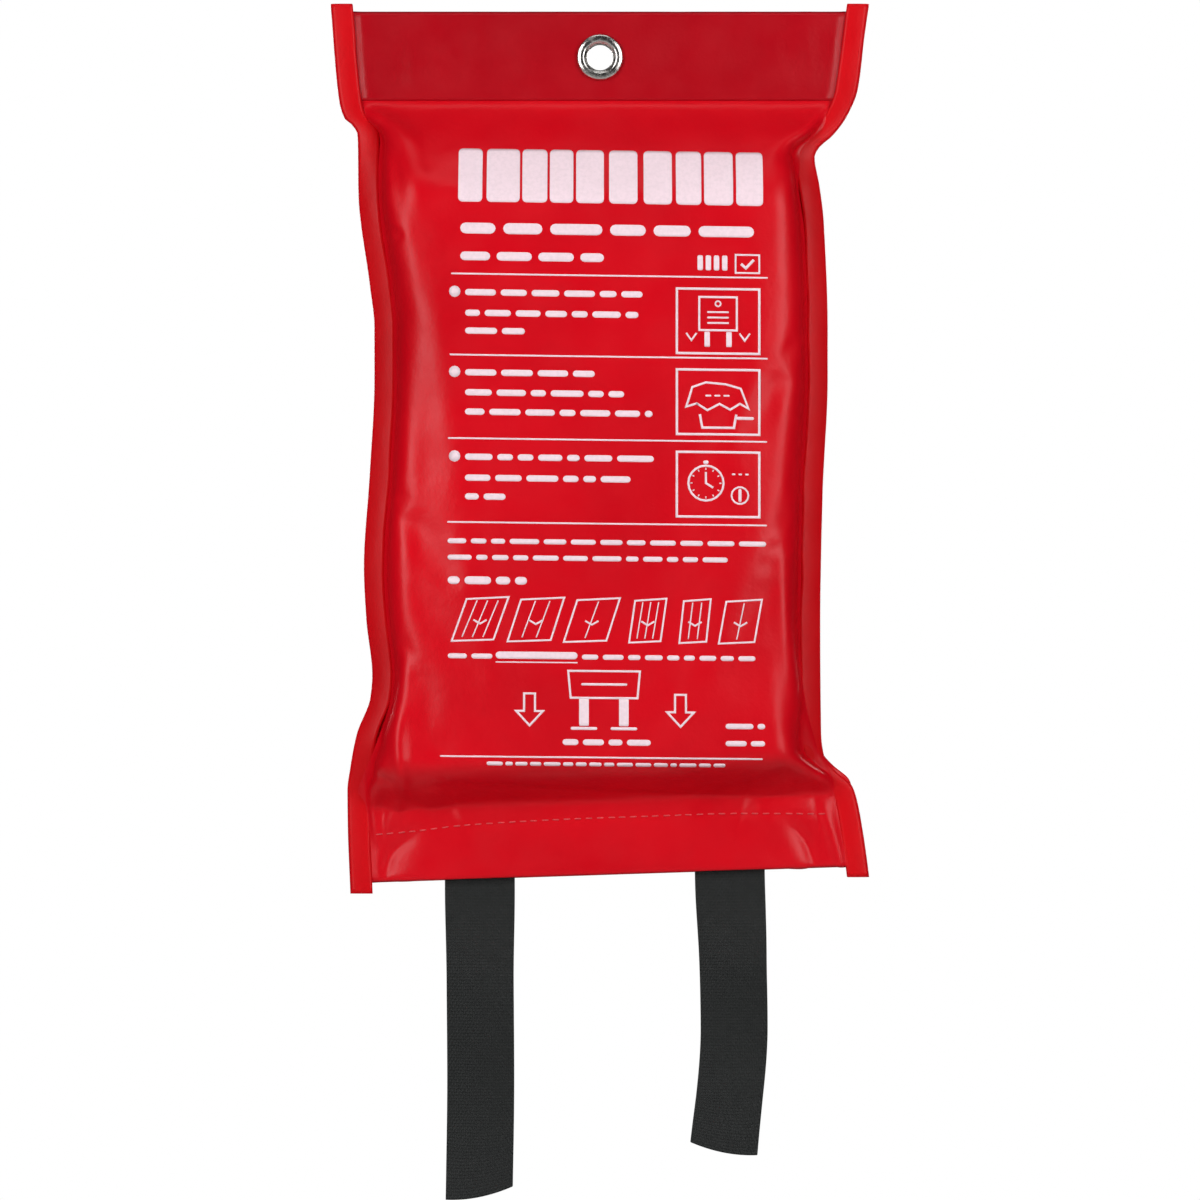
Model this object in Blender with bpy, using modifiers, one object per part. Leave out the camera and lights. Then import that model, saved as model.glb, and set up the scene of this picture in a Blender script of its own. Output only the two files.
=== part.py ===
"""Fire blanket in a soft red pouch that hangs from one eyelet, with two pull tapes under its mouth.

Metres, +Z up, front towards -Y. The origin is the centre of the eyelet's hole, in the plane of the
pouch's back. Every sheet is drawn as its middle surface, a grid of points, and given its thickness.
"""

import collections
import math

import bmesh
import bpy
from mathutils import Matrix, Vector

# Pouch, by height above the eyelet's centre
TOP_EDGE_Z = 0.0150
HEADER_END_Z = -0.0145
PANEL_TOP_Z = -0.0080
BULGE_START_Z = -0.0158
BULGE_FULL_TOP_Z = -0.0310
BULGE_FULL_BOTTOM_Z = -0.2360
BULGE_END_Z = -0.2510
HEM_EDGE_Z = -0.2526
HEM_STITCH_Z = -0.2546
MOUTH_Z = -0.2737
BINDING_TOP_Z = 0.0178
BINDING_BOTTOM_Z = -0.2769
MOUTH_SLOPE = 0.033
SLOPE_START_Z = -0.2050

# Half of the pouch's width over its edge bindings, at some heights
HALF_WIDTHS = (
    (0.0178, 0.0900),
    (-0.0145, 0.0862),
    (-0.0300, 0.0768),
    (-0.0900, 0.0756),
    (-0.1900, 0.0756),
    (-0.2280, 0.0765),
    (-0.2470, 0.0845),
    (-0.2800, 0.0868),
)

# Sheets: how deep the middle of each lies in front of the back plane
SHEET = 0.0004
LAYER_STEP = 0.0006
BACK_Y = -0.0002
BACK_BOW = 0.0010
HEM_FRONT_Y = -0.0044
BULGE_Y = -0.0272
HEADER_SEAM_Y = -0.0019
HEM_SEAM_Y = -0.0023
BULGE_SEAM_Y = -0.0105

# Across the pouch: the sheets are flat, turn towards the seam, and end in a lip inside the binding
SIDE_WIDTH = 0.0080
LIP_WIDTH = 0.0080
EDGE_INSET = 0.0012
FLAT_COLUMNS = 4
SIDE_COLUMNS = 6
LIP_COLUMNS = 1

BINDING_WIDTH = 0.0072
BINDING_TAPE = 0.0004
BINDING_HALF_DEPTH = 0.0016
BINDING_CORNER = 0.0007

# Eyelet
EYELET_OUTER = 0.0077
EYELET_BORE = 0.00435
EYELET_WALL = 0.0004
EYELET_ROLL = 0.0005
FLANGE_RISE = 0.0012
SPREAD = 0.0012
CROWN_STEPS = 6
ROUND_STEPS = 32
SHEET_HOLE = 0.0051
WASHER_OUTER = 0.0072
WASHER = 0.0004

# Closing strips inside the mouth
STRIP_WIDTH = 0.050
STRIP_HEIGHT = 0.0155
STRIP = 0.0010
STRIP_X = 0.0015
STRIP_Z = -0.2627
HOOK_Y = -0.0017
LOOP_Y = -0.0029

# Folded blanket: a cloth one metre square, eight layers across and five courses up
CLOTH_LENGTH = 1.0
PAD_WIDTH = 0.1250
PAD_TOP_Z = -0.0300
PAD_BOTTOM_Z = -0.2350
PAD_BACK_Y = -0.0036
COURSE = 0.00416
COURSE_GAP = 0.0003
COURSES = 5
TURN_STEPS = 6
BLANKET_STITCHES = 30

# Pull tapes
TAPE_WIDTH = 0.0230
TAPE = 0.0010
TAPE_Y = -0.0029
TAPE_HINGE_Z = -0.2785
TAPE_BEND = 0.0010
SEWN_TOP_Z = -0.1850
BOX_BOTTOM_Z = -0.2320
TAPES = (("left", -0.0400, -0.3800), ("right", 0.0440, -0.3650))

THREAD = 0.00036
STITCH = 0.0040
SEAM_MARGIN = 0.0030

# Gaps: between a piece and what lies on it, and where one soft piece is two solids
GAP = 0.0002
SPLIT = 0.0003

Layers = collections.namedtuple(
    "Layers", "outer_y inner_y body_y header_y outer_lip inner_lip header_lip"
)


def clear_scene():
    for existing in list(bpy.data.objects):
        bpy.data.objects.remove(existing, do_unlink=True)


def new_collection(name):
    collection = bpy.data.collections.new(name)
    bpy.context.scene.collection.children.link(collection)
    return collection


def material(name, colour, roughness, metallic=0.0):
    made = bpy.data.materials.new(name)
    made.use_nodes = True
    shader = made.node_tree.nodes["Principled BSDF"]
    shader.inputs["Base Color"].default_value = (*colour, 1.0)
    shader.inputs["Roughness"].default_value = roughness
    shader.inputs["Metallic"].default_value = metallic
    return made


def add_object(name, mesh, finish, collection):
    made = bpy.data.objects.new(name, mesh)
    made.data.materials.append(finish)
    collection.objects.link(made)
    return made


def smooth(share):
    share = min(max(share, 0.0), 1.0)
    return share * share * (3.0 - 2.0 * share)


def mix(first, second, share):
    return first + (second - first) * share


def half_width(z):
    """Half of the pouch's width over the bindings, eased between the listed heights."""
    if z >= HALF_WIDTHS[0][0]:
        return HALF_WIDTHS[0][1]
    for (upper_z, upper), (lower_z, lower) in zip(HALF_WIDTHS, HALF_WIDTHS[1:]):
        if z >= lower_z:
            return mix(upper, lower, smooth((upper_z - z) / (upper_z - lower_z)))
    return HALF_WIDTHS[-1][1]


def rise(z):
    """0 at the header and the hem, 1 over the folded blanket, in straight lines between."""
    above = (BULGE_START_Z - z) / (BULGE_START_Z - BULGE_FULL_TOP_Z)
    below = (z - BULGE_END_Z) / (BULGE_FULL_BOTTOM_Z - BULGE_END_Z)
    return min(max(min(above, below), 0.0), 1.0)


def fullness(z):
    """The rise as the sheets take it: steep at first, and level over the folded blanket."""
    return math.sin(rise(z) * math.pi / 2)


def seam_y(z):
    """Depth of the side seams, which rise to half the bulge's depth."""
    down = smooth((BULGE_START_Z - z) / (BULGE_START_Z - BULGE_END_Z))
    return mix(mix(HEADER_SEAM_Y, HEM_SEAM_Y, down), BULGE_SEAM_Y, smooth(rise(z)))


def mouth_tilt(x, z):
    """The hem hangs a little lower at the left, and the slope fades out above it."""
    share = smooth((SLOPE_START_Z - z) / (SLOPE_START_Z - BULGE_END_Z))
    return MOUTH_SLOPE * x * share


def across(z, centre_y, lip_y):
    """One row of a sheet at height z, from its left edge to its right edge."""
    edge = half_width(z) - EDGE_INSET
    foot = half_width(z) - LIP_WIDTH
    flat = foot - SIDE_WIDTH
    half = [(flat * step / FLAT_COLUMNS, centre_y) for step in range(FLAT_COLUMNS + 1)]
    for step in range(1, SIDE_COLUMNS + 1):
        angle = math.pi / 2 * step / SIDE_COLUMNS
        x = mix(flat, foot, math.sin(angle))
        half.append((x, mix(lip_y, centre_y, math.cos(angle))))
    for step in range(1, LIP_COLUMNS + 1):
        half.append((mix(foot, edge, step / LIP_COLUMNS), lip_y))
    whole = [(-x, y) for x, y in reversed(half[1:])] + half
    return [Vector((x, y, z + mouth_tilt(x, z))) for x, y in whole]


def grid_mesh(name, rows):
    """An open sheet with a quad between each two neighbouring points of neighbouring rows."""
    form = bmesh.new()
    grid = [[form.verts.new(point) for point in row] for row in rows]
    for upper, lower in zip(grid, grid[1:]):
        for column in range(len(upper) - 1):
            corners = (upper[column], upper[column + 1], lower[column + 1], lower[column])
            form.faces.new(corners)
    mesh = bpy.data.meshes.new(name)
    form.to_mesh(mesh)
    form.free()
    return mesh


def thick_sheet(name, rows, thickness, finish, collection):
    made = add_object(name, grid_mesh(name, rows), finish, collection)
    solid = made.modifiers.new("Thickness", "SOLIDIFY")
    solid.thickness = thickness
    solid.offset = 0.0
    solid.use_even_offset = True
    return made


def turn(z, first_y, second_y, direction, steps):
    """(z, share) along a half round fold from the first depth to the second, both left out."""
    radius = abs(second_y - first_y) / 2
    angles = [math.pi * step / steps for step in range(1, steps)]
    return [(z + direction * radius * math.sin(a), (1 - math.cos(a)) / 2) for a in angles]


def heights(start, stop, count):
    """Evenly spaced values from start to stop, both included."""
    return [mix(start, stop, step / count) for step in range(count + 1)]


def body_heights():
    """Heights from the bulge's lower end to the header, closer together where the sheets curve."""
    return (
        heights(BULGE_FULL_BOTTOM_Z, BULGE_FULL_TOP_Z, 9)
        + heights(BULGE_FULL_TOP_Z, BULGE_START_Z, 6)[1:]
    )


def hem_rows(layers, end_z):
    """A panel's turned-in hem, the fold round the mouth, and the sheet above it up to end_z."""
    fold_z = MOUTH_Z + LAYER_STEP / 2
    rows = []
    for z in heights(HEM_EDGE_Z, fold_z, 2):
        rows.append(across(z, layers.inner_y, seam_y(z) + layers.inner_lip))
    for z, share in turn(fold_z, layers.inner_y, layers.outer_y, -1, 4):
        lip = mix(layers.inner_lip, layers.outer_lip, share)
        rows.append(across(z, mix(layers.inner_y, layers.outer_y, share), seam_y(z) + lip))
    for z in heights(fold_z, BULGE_END_Z, 3) + heights(BULGE_END_Z, end_z, 6)[1:]:
        middle = mix(layers.outer_y, layers.body_y, fullness(z))
        rows.append(across(z, middle, seam_y(z) + layers.outer_lip))
    return rows


def body_rows(layers):
    """A panel from the bulge's lower end up to its edge inside the header."""
    rows = []
    for z in body_heights():
        up = smooth((z - BULGE_FULL_TOP_Z) / (BULGE_START_Z - BULGE_FULL_TOP_Z))
        middle = mix(mix(layers.outer_y, layers.header_y, up), layers.body_y, fullness(z))
        rows.append(across(z, middle, seam_y(z) + mix(layers.outer_lip, layers.header_lip, up)))
    rows.append(across(PANEL_TOP_Z, layers.header_y, seam_y(PANEL_TOP_Z) + layers.header_lip))
    return rows


def make_front_panel(finish, collection):
    """The front sheet, in two pieces: the part round the mouth gives way as the blanket comes out."""
    layers = Layers(
        outer_y=HEM_FRONT_Y,
        inner_y=HEM_FRONT_Y + LAYER_STEP,
        body_y=BULGE_Y,
        header_y=BACK_Y - 2 * LAYER_STEP,
        outer_lip=-1.5 * LAYER_STEP,
        inner_lip=-0.5 * LAYER_STEP,
        header_lip=-0.5 * LAYER_STEP,
    )
    mouth = hem_rows(layers, BULGE_FULL_BOTTOM_Z - SPLIT)
    thick_sheet("front_panel_mouth", mouth, SHEET, finish, collection)
    thick_sheet("front_panel", body_rows(layers), SHEET, finish, collection)


def make_back_panel(finish, collection):
    """The back sheet, which stands back a little behind the hem and the header."""
    layers = Layers(
        outer_y=BACK_Y,
        inner_y=BACK_Y - LAYER_STEP,
        body_y=BACK_Y + BACK_BOW,
        header_y=BACK_Y - LAYER_STEP,
        outer_lip=1.5 * LAYER_STEP,
        inner_lip=0.5 * LAYER_STEP,
        header_lip=0.5 * LAYER_STEP,
    )
    rows = hem_rows(layers, BULGE_FULL_BOTTOM_Z)[:-1] + body_rows(layers)
    thick_sheet("back_panel", rows, SHEET, finish, collection)


def make_header_band(finish, collection, cutters):
    """A strip folded over the top, with both panels' upper edges inside it and a hole through it."""
    front_y = BACK_Y - 3 * LAYER_STEP
    lip = 1.5 * LAYER_STEP
    fold_z = TOP_EDGE_Z - (BACK_Y - front_y) / 2
    rows = []
    for z in heights(HEADER_END_Z, fold_z, 4):
        rows.append(across(z, BACK_Y, seam_y(z) + lip))
    for z, share in turn(fold_z, BACK_Y, front_y, 1, 6):
        rows.append(across(z, mix(BACK_Y, front_y, share), seam_y(z) + mix(lip, -lip, share)))
    for z in heights(fold_z, HEADER_END_Z, 4):
        rows.append(across(z, front_y, seam_y(z) - lip))
    band = thick_sheet("header_band", rows, SHEET, finish, collection)
    punch = cylinder("eyelet_punch", SHEET_HOLE, 4 * lip + 4 * SHEET, front_y / 2, finish, cutters)
    punch.hide_render = True
    punch.display_type = "WIRE"
    cut = band.modifiers.new("Eyelet hole", "BOOLEAN")
    cut.operation = "DIFFERENCE"
    cut.object = punch
    return band


def cylinder(name, radius, depth, y, finish, collection):
    """A cylinder along Y about the eyelet's axis."""
    form = bmesh.new()
    lie = Matrix.Translation((0.0, y, 0.0)) @ Matrix.Rotation(math.pi / 2, 4, "X")
    bmesh.ops.create_cone(
        form, cap_ends=True, segments=ROUND_STEPS, radius1=radius, radius2=radius,
        depth=depth, matrix=lie,
    )
    mesh = bpy.data.meshes.new(name)
    form.to_mesh(mesh)
    form.free()
    return add_object(name, mesh, finish, collection)


def binding_section(z, side):
    """The folded binding tape round the sheets' edges: a U that opens towards the pouch."""
    outer = half_width(z) - BINDING_TAPE / 2
    inner = half_width(z) - BINDING_WIDTH
    middle = seam_y(z)
    deep = BINDING_HALF_DEPTH
    half = [
        (inner, deep),
        (outer - BINDING_CORNER, deep),
        (outer, deep - BINDING_CORNER),
    ]
    whole = half + [(x, -y) for x, y in reversed(half)]
    return [Vector((side * x, middle + y, z + mouth_tilt(side * x, z))) for x, y in whole]


def make_bindings(finish, collection):
    levels = (
        heights(BINDING_BOTTOM_Z, BULGE_END_Z, 3)[:-1]
        + heights(BULGE_END_Z, BULGE_FULL_BOTTOM_Z, 6)[:-1]
        + body_heights()
        + heights(BULGE_START_Z, BINDING_TOP_Z, 3)[1:]
    )
    for name, side in (("left_edge_binding", -1), ("right_edge_binding", 1)):
        rows = [binding_section(z, side) for z in levels]
        thick_sheet(name, rows, BINDING_TAPE, finish, collection)


def turned(name, profile, finish, collection):
    """A closed profile of (radius, y) turned about the eyelet's axis."""
    form = bmesh.new()
    ring = [form.verts.new((radius, y, 0.0)) for radius, y in profile]
    for first, second in zip(ring, ring[1:] + ring[:1]):
        form.edges.new((first, second))
    mesh = bpy.data.meshes.new(name)
    form.to_mesh(mesh)
    form.free()
    made = add_object(name, mesh, finish, collection)
    screw = made.modifiers.new("Turn", "SCREW")
    screw.axis = "Y"
    screw.steps = ROUND_STEPS
    screw.render_steps = ROUND_STEPS
    screw.use_merge_vertices = True
    screw.merge_threshold = 0.0001
    return made


def make_eyelet(finish, collection):
    """The barrel has a rolled flange in front and is spread over the washer behind the header."""
    tube = EYELET_BORE + EYELET_WALL
    seat_y = BACK_Y - 3 * LAYER_STEP - SHEET / 2 - GAP
    shoulder_y = seat_y - FLANGE_RISE + EYELET_ROLL
    washer_y = BACK_Y + SHEET / 2 + GAP
    spread_y = washer_y + WASHER + GAP
    end_y = spread_y + EYELET_ROLL
    centre = (EYELET_BORE + EYELET_OUTER) / 2
    reach = (EYELET_OUTER - EYELET_BORE) / 2
    crown = []
    for step in range(1, CROWN_STEPS):
        angle = math.pi * step / CROWN_STEPS
        crown.append((centre + reach * math.cos(angle), shoulder_y - EYELET_ROLL * math.sin(angle)))
    outline = [
        (EYELET_OUTER, shoulder_y),
        *crown,
        (EYELET_BORE, shoulder_y),
        (EYELET_BORE, end_y),
        (tube + SPREAD, end_y),
        (tube + SPREAD, spread_y),
        (tube, spread_y),
        (tube, seat_y),
        (EYELET_OUTER, seat_y),
    ]
    turned("eyelet_barrel", outline, finish, collection)
    washer = [
        (tube + GAP, washer_y + WASHER),
        (WASHER_OUTER, washer_y + WASHER),
        (WASHER_OUTER, washer_y),
        (tube + GAP, washer_y),
    ]
    turned("eyelet_washer", washer, finish, collection)


def block(name, size, centre, finish, collection, angle=0.0):
    form = bmesh.new()
    bmesh.ops.create_cube(form, size=1.0, matrix=Matrix.Diagonal((*size, 1.0)))
    mesh = bpy.data.meshes.new(name)
    form.to_mesh(mesh)
    form.free()
    made = add_object(name, mesh, finish, collection)
    made.location = centre
    made.rotation_euler = (0.0, angle, 0.0)
    return made


def make_strips(hook, loop, collection):
    """The hook strip on the back hem and the loop strip on the front hem close the mouth."""
    size = (STRIP_WIDTH, STRIP, STRIP_HEIGHT)
    level = STRIP_Z + mouth_tilt(STRIP_X, STRIP_Z)
    slope = -math.atan(MOUTH_SLOPE)
    block("hook_strip", size, (STRIP_X, HOOK_Y, level), hook, collection, slope)
    block("loop_strip", size, (STRIP_X, LOOP_Y, level), loop, collection, slope)


def cord_mesh(name, points, radius, finish, collection, cyclic=False):
    """A thread along points, as a curve made into one closed mesh."""
    curve = bpy.data.curves.new(name + "_path", "CURVE")
    curve.dimensions = "3D"
    curve.bevel_depth = radius
    curve.bevel_resolution = 1
    curve.use_fill_caps = not cyclic
    spline = curve.splines.new("POLY")
    spline.points.add(len(points) - 1)
    for place, point in zip(spline.points, points):
        place.co = (*point, 1.0)
    spline.use_cyclic_u = cyclic
    guide = bpy.data.objects.new(name + "_path", curve)
    collection.objects.link(guide)
    graph = bpy.context.evaluated_depsgraph_get()
    mesh = bpy.data.meshes.new_from_object(guide.evaluated_get(graph))
    form = bmesh.new()
    form.from_mesh(mesh)
    bmesh.ops.remove_doubles(form, verts=form.verts, dist=0.00001)
    bmesh.ops.recalc_face_normals(form, faces=form.faces)
    form.to_mesh(mesh)
    form.free()
    bpy.data.objects.remove(guide, do_unlink=True)
    mesh.materials.clear()
    return add_object(name, mesh, finish, collection)


def hem_line(face_y, gap):
    """Points along the hem's stitch line, every second one closer to the sheet."""
    reach = half_width(HEM_STITCH_Z) - LIP_WIDTH - SIDE_WIDTH
    count = 2 * round(reach / STITCH)
    points = []
    for step in range(count + 1):
        x = mix(-reach, reach, step / count)
        lift = 1.5 * gap if step % 2 else gap
        points.append((x, face_y + lift, HEM_STITCH_Z + mouth_tilt(x, HEM_STITCH_Z)))
    return points


def make_hem_threads(finish, collection):
    radius = THREAD / 2
    front = hem_line(HEM_FRONT_Y - SHEET / 2 - radius, -GAP)
    back = hem_line(BACK_Y + SHEET / 2 + radius, GAP)
    cord_mesh("front_hem_thread", front, radius, finish, collection)
    cord_mesh("back_hem_thread", back, radius, finish, collection)


def course_path():
    """(y, z) along the folded cloth's middle, from its first edge to its last."""
    pitch = COURSE + COURSE_GAP
    low = PAD_BOTTOM_Z + pitch / 2 + COURSE / 2
    high = PAD_TOP_Z - pitch / 2 - COURSE / 2
    path = [(PAD_BACK_Y - COURSE / 2, low)]
    used = 0.0
    for course in range(COURSES):
        y = PAD_BACK_Y - COURSE / 2 - course * pitch
        rising = course % 2 == 0
        end = high if rising else low
        if course == COURSES - 1:
            run = min(CLOTH_LENGTH - used, high - low)
            path.append((y, low + run if rising else high - run))
            break
        path.append((y, end))
        used += high - low + math.pi * pitch / 2
        for step in range(1, TURN_STEPS):
            angle = math.pi * step / TURN_STEPS
            bend = pitch / 2 * math.sin(angle)
            path.append((y - pitch / 2 * (1 - math.cos(angle)), end + (bend if rising else -bend)))
        path.append((y - pitch, end))
    return path


def make_blanket(finish, thread, collection):
    path = course_path()
    columns = heights(-PAD_WIDTH / 2, PAD_WIDTH / 2, 1)
    rows = [[Vector((x, y, z)) for x in columns] for y, z in path]
    thick_sheet("folded_blanket", rows, COURSE, finish, collection)
    end_y, end_z = path[-1]
    radius = THREAD / 2
    y = end_y - COURSE / 2 - GAP - radius
    reach = PAD_WIDTH / 2 - 2 * SEAM_MARGIN
    line = [(x, y, end_z - 2 * SEAM_MARGIN) for x in heights(-reach, reach, BLANKET_STITCHES)]
    cord_mesh("blanket_hem_thread", line, radius, thread, collection)


def make_tapes(finish, thread, collection):
    """Each pull tape is sewn to the back of the folded blanket and hangs free below the mouth."""
    for side, x, end_z in TAPES:
        sewn_end = TAPE_HINGE_Z + TAPE_BEND
        sewn_size = (TAPE_WIDTH, TAPE, SEWN_TOP_Z - sewn_end)
        sewn_centre = (x, TAPE_Y, (SEWN_TOP_Z + sewn_end) / 2)
        block(side + "_tape_sewn_end", sewn_size, sewn_centre, finish, collection)
        free_size = (TAPE_WIDTH, TAPE, TAPE_HINGE_Z - end_z)
        hinge = bpy.data.objects.new(side + "_tape_hinge", None)
        hinge.location = (x, TAPE_Y, TAPE_HINGE_Z)
        collection.objects.link(hinge)
        free_centre = (0.0, 0.0, (end_z - TAPE_HINGE_Z) / 2)
        free = block(side + "_tape", free_size, free_centre, finish, collection)
        free.parent = hinge
        make_box_stitch(side, x, thread, collection)


def make_box_stitch(side, x, finish, collection):
    """One thread round the box that holds a tape to the blanket, on the tape's back."""
    radius = THREAD / 2
    y = TAPE_Y + TAPE / 2 + GAP + radius
    reach = TAPE_WIDTH / 2 - SEAM_MARGIN
    top = SEWN_TOP_Z - SEAM_MARGIN
    corners = [(-reach, BOX_BOTTOM_Z), (reach, BOX_BOTTOM_Z), (reach, top), (-reach, top)]
    points = []
    for (x0, z0), (x1, z1) in zip(corners, corners[1:] + corners[:1]):
        count = max(round(math.hypot(x1 - x0, z1 - z0) / (2 * STITCH)), 2)
        for step in range(count):
            points.append((x + mix(x0, x1, step / count), y, mix(z0, z1, step / count)))
    cord_mesh(side + "_tape_thread", points, radius, finish, collection, cyclic=True)


def main():
    clear_scene()
    parts = new_collection("fire_blanket")
    cutters = new_collection("cutters")
    red = material("red_pvc_sheet", (0.62, 0.012, 0.018), 0.32)
    edge_red = material("red_binding_tape", (0.50, 0.010, 0.014), 0.42)
    nickel = material("nickel_plate", (0.72, 0.71, 0.69), 0.22, 1.0)
    hook = material("hook_tape", (0.03, 0.03, 0.032), 0.7)
    loop = material("loop_tape", (0.035, 0.035, 0.037), 0.95)
    cloth = material("glass_fibre_cloth", (0.82, 0.81, 0.77), 0.75)
    webbing = material("black_webbing", (0.021, 0.023, 0.022), 0.85)
    red_thread = material("red_thread", (0.55, 0.02, 0.025), 0.5)
    white_thread = material("white_thread", (0.8, 0.79, 0.75), 0.6)
    black_thread = material("black_thread", (0.02, 0.02, 0.02), 0.6)
    make_back_panel(red, parts)
    make_front_panel(red, parts)
    make_header_band(red, parts, cutters)
    make_bindings(edge_red, parts)
    make_eyelet(nickel, parts)
    make_strips(hook, loop, parts)
    make_hem_threads(red_thread, parts)
    make_blanket(cloth, white_thread, parts)
    make_tapes(webbing, black_thread, parts)


main()
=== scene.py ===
"""Looks for the fire blanket: a soft glossy pouch with its print, bindings, stitching and eyelet,
two webbing pull tapes, and the folded glass-fibre blanket inside. Metres, front towards -Y."""

import math
import random

import bmesh
import bpy
import numpy as np
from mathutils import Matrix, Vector, noise
from mathutils.bvhtree import BVHTree


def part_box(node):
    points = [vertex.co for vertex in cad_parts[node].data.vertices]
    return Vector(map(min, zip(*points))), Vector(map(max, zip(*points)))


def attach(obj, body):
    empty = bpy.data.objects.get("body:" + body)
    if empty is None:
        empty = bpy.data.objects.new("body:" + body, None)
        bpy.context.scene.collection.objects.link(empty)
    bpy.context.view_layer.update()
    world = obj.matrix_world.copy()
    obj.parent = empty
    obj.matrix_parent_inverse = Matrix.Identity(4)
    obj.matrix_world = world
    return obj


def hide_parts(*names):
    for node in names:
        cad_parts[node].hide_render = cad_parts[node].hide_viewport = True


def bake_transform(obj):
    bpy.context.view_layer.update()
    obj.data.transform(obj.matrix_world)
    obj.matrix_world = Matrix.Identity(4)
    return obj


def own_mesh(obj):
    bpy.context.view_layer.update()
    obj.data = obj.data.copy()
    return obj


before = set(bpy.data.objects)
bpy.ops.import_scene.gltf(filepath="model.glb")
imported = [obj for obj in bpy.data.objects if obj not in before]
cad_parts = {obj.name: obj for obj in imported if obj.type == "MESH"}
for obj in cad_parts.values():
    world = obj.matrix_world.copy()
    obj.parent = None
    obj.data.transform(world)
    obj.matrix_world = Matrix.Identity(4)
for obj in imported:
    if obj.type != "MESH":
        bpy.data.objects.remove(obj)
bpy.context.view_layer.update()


def metres(value):
    """Metres from tenths of a millimetre, for one length or for nested tuples of them."""
    if isinstance(value, tuple):
        return tuple(metres(part) for part in value)
    return value / 10000


# Places from the frame
BAND_LOW, BAND_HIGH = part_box("header_band")
FRONT_LOW, FRONT_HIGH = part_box("front_panel")
MOUTH_LOW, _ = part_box("front_panel_mouth")
PAD_LOW, PAD_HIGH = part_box("folded_blanket")
BINDING_LOW, BINDING_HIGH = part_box("left_edge_binding")
TAPE_BOXES = {side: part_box(side + "_tape") for side in ("left", "right")}
SEWN_BOXES = {side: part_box(side + "_tape_sewn_end") for side in ("left", "right")}

# Heights of the pouch, all at its middle
TOP_Z = BAND_HIGH[2]
HEADER_END_Z = BAND_LOW[2]
PANEL_TOP_Z = FRONT_HIGH[2]
BULGE_START_Z = HEADER_END_Z - 0.0008
BULGE_TOP_LENGTH = 0.036
HEADER_BLEND_Z = -0.031  # Above here the sheets draw together under the header
BULGE_FOOT_Z = -0.2490
BULGE_FOOT_LENGTH = 0.0150
HEM_TURN_Z = -0.2535  # Top of the hem's turned-in layer
SLOPE_PER_M = 0.033  # How far the mouth hangs out of level
SLOPE_START_Z = -0.205
MOUTH_Z = MOUTH_LOW[2] - SLOPE_PER_M * MOUTH_LOW[0]
FOLD_Z = MOUTH_Z + 0.0003

# Half widths over the bindings, as (height, half width) in tenths of a millimetre
LEFT_EDGE = metres((
    (178, 900), (-147, 871), (-204, 853), (-229, 824), (-262, 809), (-472, 803), (-767, 765),
    (-908, 750), (-1079, 750), (-1400, 766), (-1705, 785), (-1879, 777), (-2067, 757), (-2144, 764),
    (-2261, 808), (-2375, 832), (-2452, 843), (-2563, 842), (-2800, 833),
))
RIGHT_EDGE = metres((
    (178, 899), (74, 884), (-107, 861), (-194, 826), (-261, 777), (-302, 731), (-335, 715),
    (-432, 730), (-556, 744), (-908, 757), (-1079, 757), (-1464, 740), (-1913, 732), (-2261, 735),
    (-2338, 746), (-2389, 787), (-2446, 846), (-2593, 878), (-2800, 906),
))
EDGE_INSET = 0.0011  # From a binding's outer edge to the sheets' edges inside it
SIDE_ROUND = 0.0092  # Width of the round over the blanket's side, and beside the hem
HEM_ROUND = 0.004
WALL_INSET, WALL_DROP = 0.0010, 0.70  # Where the side wall turns out into the binding
CROWN = 0.0012
HEM_BOW = 0.0022
HEM_BOW_REACH = (0.044, 0.064)  # Half widths of the bow, at its top and at the mouth
HEM_BOW_FADE = 0.020

# Depths of the side seams, at the binding's inner edge except for EDGE_Y
SEAM_HEADER_Y = -0.0019
SEAM_HEM_Y = -0.0026
FOOT_Y = -0.0098
EDGE_Y = -0.0060

# The sheets: a layer is its depth in the middle and how far it lies from the seam at its sides
SHEET = 0.00036
HEADER_SHEET = 0.0004
FRONT_Y = FRONT_LOW[1] + 0.0003
BACK_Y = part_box("back_panel")[1][1] - 0.0002
FRONT_HEM, FRONT_TURNED_IN, FRONT_TOP = (-0.0046, -0.0009), (-0.0039, -0.0003), (-0.0014, -0.0003)
BACK_HEM, BACK_TURNED_IN = (-0.0002, 0.0009), (-0.0008, 0.0003)
HEADER_FRONT = (BAND_LOW[1] + 0.0012, -0.0009)
PANEL_ROW_GAP, FRONT_COLUMNS, BACK_COLUMNS = 0.0020, 104, 96
HEADER_ROW_GAP, HEADER_COLUMNS = 0.0012, 132

# The cloth simulation runs ten times as large, where Blender's cloth is steadier
SIM_SCALE = 10.0
SIM_FRAMES = 22
SIM_GROWTH = 0.0026
SIM_KEPT = 0.85
SIM_TOP_Z, SIM_TOP_LENGTH = -0.0200, 0.0300  # The slopes, where less of its result is kept
SIM_FOOT_Z, SIM_FOOT_LENGTH = -0.2440, 0.0120
PIN_MARGIN_TOP, PIN_MARGIN_FOOT, PIN_MARGIN_SIDE = 0.0010, 0.0005, 0.0020

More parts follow.
